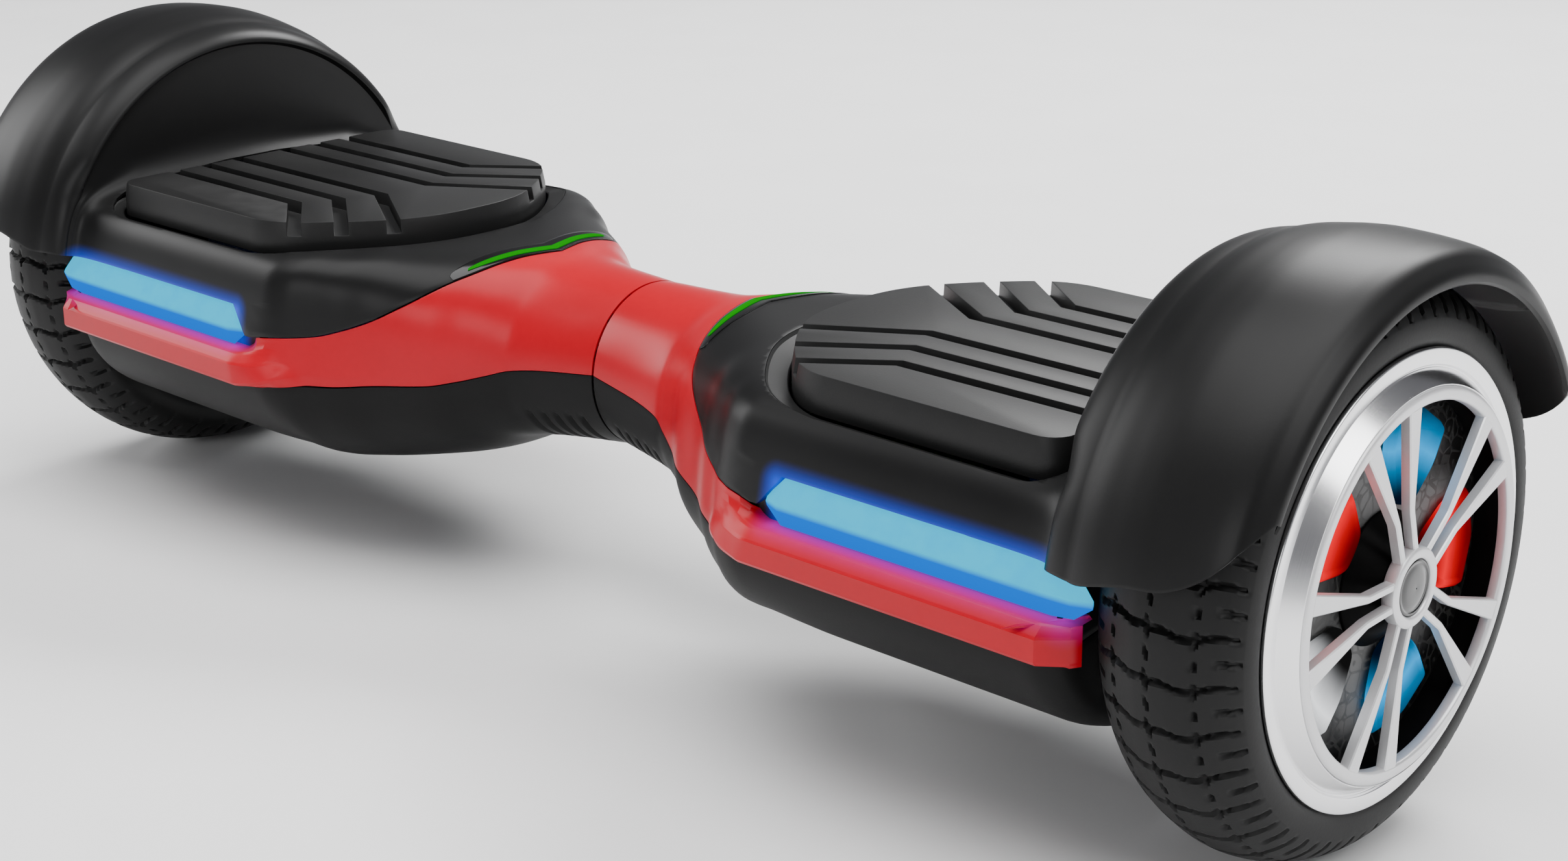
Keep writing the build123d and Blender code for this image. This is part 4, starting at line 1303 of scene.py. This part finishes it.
@dataclass
class FootPad:
    """The rubber foot pad with its six grooves.

    Attributes:
        top: height of its face.
        foot: height of its underside.
        groove_w: width of a groove.
        groove_d: depth of a groove.
        grooves: (y, x, run along, run across) of each groove: where it bends, and its slanted end.
        beyond: place past the pad's outer edge where the grooves' tools end.
    """

    top: float = 123.0
    foot: float = 111.2
    groove_w: float = 5.0
    groove_d: float = 4.8
    grooves: tuple[tuple[float, float, float, float], ...] = (
        (11.0, 129.0, -44.0, 27.5), (25.5, 135.0, -44.0, 32.0), (39.5, 142.0, -44.0, 33.5))
    beyond: float = 230.0

    @staticmethod
    def outline() -> np.ndarray:
        """The pad seen from above."""
        rear = [(88, 13, 11), (93, 28.5, 13), (106, 46.5, 15), (124, 64, 11), (217.5, 64.6, 9)]
        front = [(x, -y, size) for x, y, size in reversed(rear)]
        return rounded(rear + front, 7)

    def run_tool(self, points: Sequence[Point], side: Side) -> bpy.types.Object:
        """A tool that cuts a groove of even width.

        Args:
            points: the run of points (x, y) that it follows.
            side: the half.

        Returns:
            The tool.
        """
        line = np.array(points, float)
        heading = np.diff(line, axis=0)
        heading /= np.linalg.norm(heading, axis=1)[:, None]
        left = np.stack([-heading[:, 1], heading[:, 0]], 1)
        corner = left[:-1] + left[1:]
        corner /= np.sum(corner * left[:-1], axis=1)[:, None]
        offset = np.concatenate([left[:1], corner, left[-1:]]) * self.groove_w / 2
        ring = np.concatenate([line + offset, (line - offset)[::-1]])
        draft = Draft()
        draft.stack([np.column_stack([ring, np.full(len(ring), z)])
                     for z in (self.top - self.groove_d, self.top + 3)])
        return draft.piece("groove_tool", side)

    def build(self, side: Side) -> None:
        """Builds one half's pad."""
        outline = self.outline()
        draft = Draft()
        levels = ((self.foot, 0.0), (self.top - 5.5, 0.0), (self.top, -0.9))
        draft.stack([np.column_stack([swell(outline, by), np.full(len(outline), z)]) for z, by in levels])
        piece = draft.piece(side.named("tread_pad"), side)
        tools = []
        for y, x, along, across in self.grooves:
            for way in (1, -1):
                run = [(x + along, way * (y + across)), (x, way * y), (self.beyond, way * y)]
                tools.append(self.run_tool(run, side))
        carve(piece, tools)
        soften(piece, 0.75, 38, 3)
        freeze(piece)
        smooth(piece, 35)
        dress(piece, PAD, side.named("pad"), "pad_rubber", side.named("foot_pad"))


# ---------------------------------------------------------------- lamps


@dataclass
class LightBar:
    """The lit bar above each bumper, with its faceted cover and pointed ends.

    Attributes:
        section: its outline (y, z) at full size.
        tip: the point (y, z) that the section shrinks to at both ends.
        places: (x, share of the full section) along the bar.
        seat: outline (y, z) of the dark seat behind it.
    """

    section: tuple[Point, ...] = ((-74.6, 95.0), (-75.4, 95.0), (-79.3, 88.4), (-79.3, 87.4),
                                  (-77.4, 81.5), (-76.4, 81.0), (-74.2, 88.0))
    tip: Point = (-76.0, 87.0)
    places: tuple[Point, ...] = ((124.6, 0.22), (130.9, 1.0), (160.0, 1.0), (195.0, 1.0), (226.0, 1.0),
                                 (233.0, 0.86), (238.6, 0.16))
    seat: tuple[Point, ...] = ((-74.9, 80.2), (-74.9, 97.0), (-71.5, 97.0), (-71.5, 80.2))

    def build(self, side: Side) -> None:
        """Builds the front and rear bars of one half."""
        full = np.array(self.section)
        for name, way in (("front_light", 1.0), ("rear_light", -1.0)):
            draft = Draft()
            rings = []
            for x, share in self.places:
                ring = np.array(self.tip) + (full - self.tip) * share
                rings.append(np.column_stack([np.full(len(ring), x), ring[:, 0] * way, ring[:, 1]]))
            draft.stack(rings)
            piece = draft.piece(side.named(name.replace("light", "lamp_bar")), side, 20)
            soften(piece, 0.5, 18, 2)
            freeze(piece)
            smooth(piece, 30)
            dress(piece, LAMP, side.named("half"), "lamp_bar", side.named(name))
            seat = Draft()
            outline = rounded([(y * way, z, 0.8) for y, z in self.seat], 3)
            seat.stack([np.column_stack([np.full(len(outline), x), outline])
                        for x in (118.0, 150.0, 190.0, 232.0)])
            dress(seat.piece(side.named(name.replace("light", "lamp_seat")), side), SHELL,
                  side.named("half"), "shell_black")


@dataclass
class StatusLight:
    """The gloss inset beside the trim's edge, with its thin green light.

    Attributes:
        reach: half angle that the inset covers from the top.
        width: its widest part.
    """

    reach: float = 54.0
    width: float = 9.2

    def band(self, start: float, stop: float, reach: float, lift: float) -> np.ndarray:
        """A pointed strip along the trim's edge.

        Args:
            start: distance from the edge.
            stop: distance of its far side at the top.
            reach: half angle that it covers.
            lift: height above the shell.

        Returns:
            The strip's sheet.
        """
        turn = np.linspace(-1, 1, 90)[:, None]
        taper = np.sqrt(np.clip(1 - turn ** 2, 0, 1)) ** 0.8 * 0.985 + 0.015
        angle = 90 + turn * reach
        folded = 90 - np.abs(angle - 90)
        near = FORM.red_edge(folded) + start
        s = np.linspace(0, 1, 9)[None, :]
        x = near + s * (stop - start) * taper
        return FORM.point(x, np.broadcast_to(angle, x.shape), lift)

    def build(self, side: Side) -> None:
        """Builds one half's inset and light."""
        inset = Draft()
        inset.grid(self.band(0.5, self.width, self.reach, 0.32))
        piece = inset.piece(side.named("status_inset"), side, 40, (0, AXLE_Z))
        thicken(piece, 0.8)
        soften(piece, 0.2, 50)
        freeze(piece)
        smooth(piece, 40)
        dress(piece, GLOSS, side.named("half"), "lamp_green")
        strip = Draft()
        strip.grid(self.band(2.0, 5.0, self.reach - 7, 0.62))
        lamp = strip.piece(side.named("status_strip"), side, 40, (0, AXLE_Z))
        thicken(lamp, 0.5)
        freeze(lamp)
        smooth(lamp, 40)
        dress(lamp, GREEN, side.named("half"), "lamp_green", side.named("status_light"))


# ---------------------------------------------------------------- wheels


@dataclass
class Tyre:
    """The solid rubber tyre with its cut tread.

    Attributes:
        pitches: tread blocks round the tyre.
        steps: mesh columns on each block.
        depth: depth of a sipe.
        radius: radius over the tread.
        middle: place of the tyre's middle along the axle.
        ticks: places of the short cuts across the sipes.
        crown: the tread's radius across the tyre.
    """

    pitches: int = 36
    steps: int = 22
    depth: float = 2.0
    radius: float = 82.5
    middle: float = 259.5
    crown = Curve((236.9, 71.4), (240, 74.8), (244, 77.8), (248, 79.8), (252, 81.2), (256, 82.2),
                  (259.5, 82.5), (264, 82.1), (268, 81.2), (272, 79.6), (276, 77.3), (280, 73.0),
                  (281.2, 70.4))
    ticks: tuple[float, ...] = (247.5, 259.5, 271.5)

    def cut(self, x: np.ndarray, share: np.ndarray) -> np.ndarray:
        """Depth of the tread cuts.

        Args:
            x: place across the tyre.
            share: place along a block, 0 to 1.

        Returns:
            How deep the surface is cut, 0 to 1.
        """
        pitch = 2 * math.pi * self.radius / self.pitches
        first, _, last = self.ticks
        out = np.abs(x - self.middle)
        lean = 0.5 + 0.05 * np.sin((x - 238) * 0.45) + 0.05 * np.sign(x - self.middle)
        lean += 0.045 * np.sign(x - first) * (out > 12) - 0.05 * np.sign(x - last) * (x > last)
        off = np.abs(share - lean) * pitch
        sipe = 1 - ease(off, 0.35, 1.05)
        sipe *= ease(x, 239.0, 241.0) * ease(-x, -280.6, -279.4)
        away = np.minimum(np.abs(share - lean), 1 - np.abs(share - lean)) * pitch
        marks = np.zeros(np.broadcast(x, share).shape)
        for tick in self.ticks:
            beside = 1 - ease(np.abs(x - tick), 0.35, 0.85)
            marks = np.maximum(marks, beside * (1 - ease(off, 1.7, 2.4)))
            marks = np.maximum(marks, beside * (1 - ease(pitch / 2 - away, 0.9, 1.5)) * 0.8)
        other = np.minimum(np.mod(share - lean + 0.5, 1.0), 1 - np.mod(share - lean + 0.5, 1.0)) * pitch
        slot = (1 - ease(other, 0.5, 1.1)) * ease(out, 16.4, 17.2)
        slot *= ease(-out, -21.4, -20.4)
        return np.maximum(np.maximum(sipe, marks), slot)

    def build(self, side: Side) -> None:
        """Builds one wheel's tyre."""
        tread = np.concatenate([[237.2, 238.4], np.arange(239.2, 280.9, 0.62), [281.0]])
        inner = [(241.0, 62.4), (238.6, 63.6), (237.4, 66.2), (237.0, 69.2)]
        outer = [(281.3, 68.6), (281.5, 66.0), (281.0, 64.4), (279.6, 62.4)]
        x = np.concatenate([[p[0] for p in inner], tread, [p[0] for p in outer]])
        r = np.concatenate([[p[1] for p in inner], self.crown(tread), [p[1] for p in outer]])
        count = self.pitches * self.steps
        turn = np.arange(count)[:, None] / self.steps
        share = np.mod(turn, 1.0)
        deep = self.cut(x[None, :], share) * self.depth * (r[None, :] > 71.0)
        angle = turn / self.pitches * 2 * math.pi
        radius = r[None, :] - deep
        points = np.stack(np.broadcast_arrays(x[None, :], radius * np.cos(angle),
                                              AXLE_Z + radius * np.sin(angle)), -1)
        draft = Draft()
        draft.grid(points, wrap=True)
        piece = draft.piece(side.named("tread_tyre"), side, 40)
        dress(piece, TYRE, side.named("wheel"), "tyre_rubber", side.named("tyre"))


@dataclass
class Wheel:
    """The rim, the split-spoke cover, the hub cap and the lit lenses of one wheel; the white lens is a
    painted reflection made to glow.

    Attributes:
        face: where the spoke cover's front stands.
        ring: outer and inner radius of the spoke cover's ring.
        pairs: number of spoke pairs.
        first: angle of the first pair from the rear.
    """

    face: float = 287.0
    ring: Point = (54.2, 50.4)
    pairs: int = 5
    first: float = 36.3

    def rim(self, side: Side) -> None:
        """Builds the machined rim."""
        profile = rounded([(239, 50.3, 0.5), (239, 62.4, 1.5), (280.2, 62.4, 0.5), (280.6, 63.6, 0.4),
                           (282.1, 63.6, 0.6), (282.1, 59.0, 0.3), (281.2, 58.6, 0.3), (281.2, 58.1, 0.3),
                           (286.4, 54.6, 0.4), (286.0, 54.2, 0.2), (283.0, 54.0, 0.2), (283.0, 52.8, 0.3),
                           (274.2, 52.6, 0.8), (274.2, 18.2, 0.4), (270, 18.2, 0.4), (270, 50.3, 0.8)], 4)
        draft = Draft()
        draft.lathe(profile, (0.0, AXLE_Z))
        piece = draft.piece(side.named("wheel_rim"), side, 35)
        dress(piece, RIM, side.named("wheel"), "rim_alloy", side.named("rim"))
        well = rounded([(274.3, 52.4, 0.3), (275.0, 52.4, 0.3), (275.0, 20.0, 0.3), (274.3, 20.0, 0.3)], 3)
        back = Draft()
        back.lathe(well, (0.0, AXLE_Z), 96)
        drum = rounded([(274.6, 52.3, 0.3), (283.0, 52.7, 0.3), (283.0, 52.1, 0.2), (275.2, 51.7, 0.3)], 3)
        back.lathe(drum, (0.0, AXLE_Z), 96)
        boss = rounded([(275.4, 19.0, 0.3), (276.2, 19.0, 0.5), (283.3, 10.8, 0.4), (283.3, 8.6, 0.3),
                        (275.4, 8.6, 0.3)], 3)
        back.lathe(boss, (0.0, AXLE_Z), 72)
        dress(back.piece(side.named("wheel_well"), side, 35), WELL, side.named("wheel"), "cap_black")

    def spoke(self, draft: Draft, centre: float, way: float) -> None:
        """Draws one spoke: a straight bar by the hub, then a blade that widens to the ring.

        Args:
            draft: the cover being drawn.
            centre: angle of the spoke's pair.
            way: 1 or -1, its side of the pair.
        """
        a = math.radians(centre)
        along = np.array([math.cos(a), math.sin(a)])
        across = np.array([-math.sin(a), math.cos(a)]) * way
        knee_in, knee_out = along * 22.7 + across * 2.5, along * 22.7 + across * 4.7
        ring_in = self.at(centre + way * 8.4, self.ring[1] + 0.8)
        ring_out = self.at(centre + way * 15.0, self.ring[1] + 0.8)
        flat = np.array([along * 9.5 + across * 2.1, knee_in, ring_in, ring_out, knee_out,
                         along * 9.5 + across * 4.3])
        ring = rounded([(p[0], p[1], 0.5) for p in flat], 3)
        self.stand(draft, ring, ((self.face - 3.0, 0.0), (self.face - 0.5, 0.0), (self.face - 0.15, -0.32)))

    @staticmethod
    def stand(draft: Draft, ring: np.ndarray, levels: Sequence[Point]) -> None:
        """Draws a solid that stands up from the wheel's plane.

        Args:
            draft: the piece being drawn.
            ring: its outline, y and z from the axle.
            levels: place along the axle and growth of the outline at each level.
        """
        rings = []
        for x, by in levels:
            shape = swell(ring, by)
            rings.append(np.column_stack([np.full(len(shape), x), shape[:, 0], AXLE_Z + shape[:, 1]]))
        draft.stack(rings)

    @staticmethod
    def at(angle: float, radius: float) -> np.ndarray:
        """A point (y, z from the axle) at an angle from the rear and a radius."""
        return np.array([math.cos(math.radians(angle)), math.sin(math.radians(angle))]) * radius

    def cover(self, side: Side) -> None:
        """Builds the spoke cover."""
        outer, inner = self.ring
        f = self.face
        draft = Draft()
        draft.lathe(rounded([(f - 3.6, outer, 0.5), (f - 0.6, outer, 0.8), (f, outer - 0.9, 0.5),
                             (f, inner + 0.6, 0.5), (f - 0.6, inner, 0.5), (f - 3.6, inner, 0.5)], 3),
                    (0.0, AXLE_Z))
        draft.lathe(rounded([(f - 3.6, 11.2, 0.5), (f + 0.1, 11.2, 0.8), (f + 0.5, 10.4, 0.5),
                             (f + 0.5, 8.6, 0.5), (f, 8.0, 0.5), (f - 3.6, 8.0, 0.5)], 3),
                    (0.0, AXLE_Z), 72)
        for pair in range(self.pairs):
            for way in (1.0, -1.0):
                self.spoke(draft, self.first + pair * 360 / self.pairs, way)
        piece = draft.piece(side.named("spoke_face"), side, 25)
        dress(piece, SPOKES, side.named("wheel"), "spoke_silver", side.named("spoke_cover"))

    def cap(self, side: Side) -> None:
        """Builds the plain domed hub cap."""
        f = self.face
        profile = rounded([(f - 6.0, 7.9, 0.4), (f - 0.2, 7.9, 0.5), (f + 0.1, 7.2, 0.4), (f - 0.3, 6.6, 0.3),
                           (f + 0.2, 5.0, 1.5), (f + 0.5, 0.2, 0.1), (f - 6.0, 0.2, 0.1)], 4)
        draft = Draft()
        draft.lathe(profile, (0.0, AXLE_Z), 72)
        dress(draft.piece(side.named("centre_cap"), side, 35), CAP, side.named("wheel"), "cap_black",
              side.named("hub_cap"))

    def lens(self, draft: Draft, middle: float) -> None:
        """Draws one raised lens.

        Args:
            draft: the piece being drawn.
            middle: angle of the window that it stands in.
        """
        spread_deg = (16.0, 21.5, 19.0)
        radii = (21.5, 34.0, 45.5)
        right = [self.at(middle - s, r) for s, r in zip(spread_deg, radii)]
        left = [self.at(middle + s, r) for s, r in zip(spread_deg, radii)]
        flat = right + [self.at(middle, 47.0)] + left[::-1] + [self.at(middle, 20.0)]
        ring = rounded([(p[0], p[1], 2.4) for p in flat], 4)
        self.stand(draft, ring, ((275.2, 0.0), (277.2, 0.0), (278.4, -1.2), (278.4, -2.2), (277.8, -2.8)))

    def lenses(self, side: Side) -> None:
        """Builds the lit lenses, grouped by colour; the white one is a painted reflection made to glow, not a
        lamp.
        """
        groups = (("red", LENS_RED, (0.0, 144.0)), ("cyan", LENS_CYAN, (72.0, 288.0)),
                  # The white entry is a painted reflection that glows, not a lamp.
                  ("white", LENS_WHITE_REFLECTION, (216.0,)))
        for colour, finish, angles in groups:
            draft = Draft()
            for angle in angles:
                self.lens(draft, angle)
            piece = draft.piece(side.named(f"glow_{colour}"), side, 30)
            dress(piece, finish, side.named("wheel"), f"lens_{colour}", side.named(f"lens_{colour}"))

    def build(self, side: Side) -> None:
        """Builds all of one wheel but its tyre."""
        self.rim(side)
        self.cover(side)
        self.cap(side)
        self.lenses(side)


# ---------------------------------------------------------------- carried-over pieces


class Internals:
    """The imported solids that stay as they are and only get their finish."""

    def build(self) -> None:
        """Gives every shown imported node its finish."""
        for name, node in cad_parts.items():
            plain = name.removeprefix("right_").removeprefix("left_")
            finish = CAD_FINISHES.get(plain)
            if finish is None:
                continue
            material = finish.make()
            if not node.material_slots:
                node.data.materials.append(material)
            for slot in node.material_slots:
                slot.material = material
            LOG.info("%s: %s", name, finish.name)


# ---------------------------------------------------------------- studio


@dataclass
class Studio:
    """Pale floor, soft lamps and the camera.

    Attributes:
        place: the camera's place in metres.
        azimuth: its heading in degrees.
        drop: how far it looks down in degrees.
        roll: its roll in degrees.
        lens: focal length in millimetres.
        shift: sensor shift.
    """

    place: tuple[float, float, float] = (0.59047, -0.56441, 0.33823)
    azimuth: float = 42.877
    drop: float = 17.847
    roll: float = 0.126
    lens: float = 58.42
    shift: Point = (-0.0086, -0.0283)

    def floor(self) -> None:
        """Lays the floor."""
        draft = Draft()
        reach = np.linspace(-6000, 6000, 13)
        draft.grid(np.stack(np.broadcast_arrays(reach[:, None], reach[None, :], np.array(-0.4)), -1))
        piece = draft.piece("floor")
        finish = Finish("pale_floor", (0.80, 0.80, 0.80), (0.83, 0.83, 0.83), (0.75, 0.85),
                        size=2.0, depth=0.01)
        piece.data.materials.append(finish.make())

    def lamp(self, name: str, place: tuple[float, float, float], aim: tuple[float, float, float],
             size: Point, power: float, colour: Colour = (1.0, 1.0, 1.0)) -> None:
        """Hangs one soft box.

        Args:
            name: its name.
            place: its place.
            aim: the point it faces.
            size: its width and height.
            power: its power in watts.
            colour: its colour.
        """
        data = bpy.data.lights.new(name, "AREA")
        data.shape = "RECTANGLE"
        data.size, data.size_y = size
        data.energy = power
        data.color = colour
        lamp = bpy.data.objects.new(name, data)
        lamp.location = place
        lamp.rotation_euler = (Vector(aim) - Vector(place)).to_track_quat("-Z", "Y").to_euler()
        bpy.context.scene.collection.objects.link(lamp)

    def camera(self) -> None:
        """Sets up the camera."""
        data = bpy.data.cameras.new("camera")
        data.lens = self.lens
        data.sensor_width = 36.0
        data.shift_x, data.shift_y = self.shift
        data.clip_end = 50
        camera = bpy.data.objects.new("camera", data)
        camera.location = self.place
        camera.rotation_mode = "XYZ"
        turns = (90 - self.drop, self.roll, self.azimuth)
        camera.rotation_euler = tuple(math.radians(turn) for turn in turns)
        bpy.context.scene.collection.objects.link(camera)
        bpy.context.scene.camera = camera

    @staticmethod
    def sky() -> bpy.types.World:
        """Soft surroundings, pale at the horizon and dim above it."""
        world = bpy.data.worlds.new("studio")
        world.use_nodes = True
        tree = world.node_tree
        split = tree.nodes.new("ShaderNodeSeparateXYZ")
        tree.links.new(tree.nodes.new("ShaderNodeTexCoord").outputs["Generated"], split.inputs[0])
        height = spread(tree, split.outputs["Z"], (0.02, 0.22), (0.0, 1.0))
        shade = blend_colour(tree, height, (0.62, 0.63, 0.65), (0.13, 0.13, 0.14))
        tree.links.new(shade, tree.nodes["Background"].inputs["Color"])
        return world

    def build(self) -> None:
        """Builds the studio."""
        self.floor()
        self.lamp("top_box", (0.1, -0.35, 2.6), (0.0, 0.0, 0.08), (3.2, 2.2), 105)
        self.lamp("right_box", (1.9, 0.1, 1.6), (0.28, 0.0, 0.1), (1.2, 1.2), 28)
        self.lamp("left_box", (-2.0, -0.7, 1.0), (-0.2, 0.0, 0.12), (0.8, 1.2), 20)
        self.lamp("front_box", (0.4, -2.2, 0.9), (0.1, 0.0, 0.08), (1.2, 0.7), 12)
        self.lamp("back_box", (-0.2, 1.5, 1.5), (0.2, 0.0, 0.12), (1.5, 0.7), 60)
        bpy.context.scene.world = self.sky()
        self.camera()


def main() -> None:
    """Builds the board, half by half, then the studio."""
    logging.basicConfig(level=logging.INFO, format="%(name)s %(message)s")
    for side in Side:
        TopShell().build(side)
        SideTrim().build(side)
        BottomShell().build(side)
        FootPad().build(side)
        LightBar().build(side)
        StatusLight().build(side)
        Tyre().build(side)
        Wheel().build(side)
        LOG.info("%s half finished", side.label)
    Internals().build()
    Studio().build()


if __name__ == "__main__":
    main()
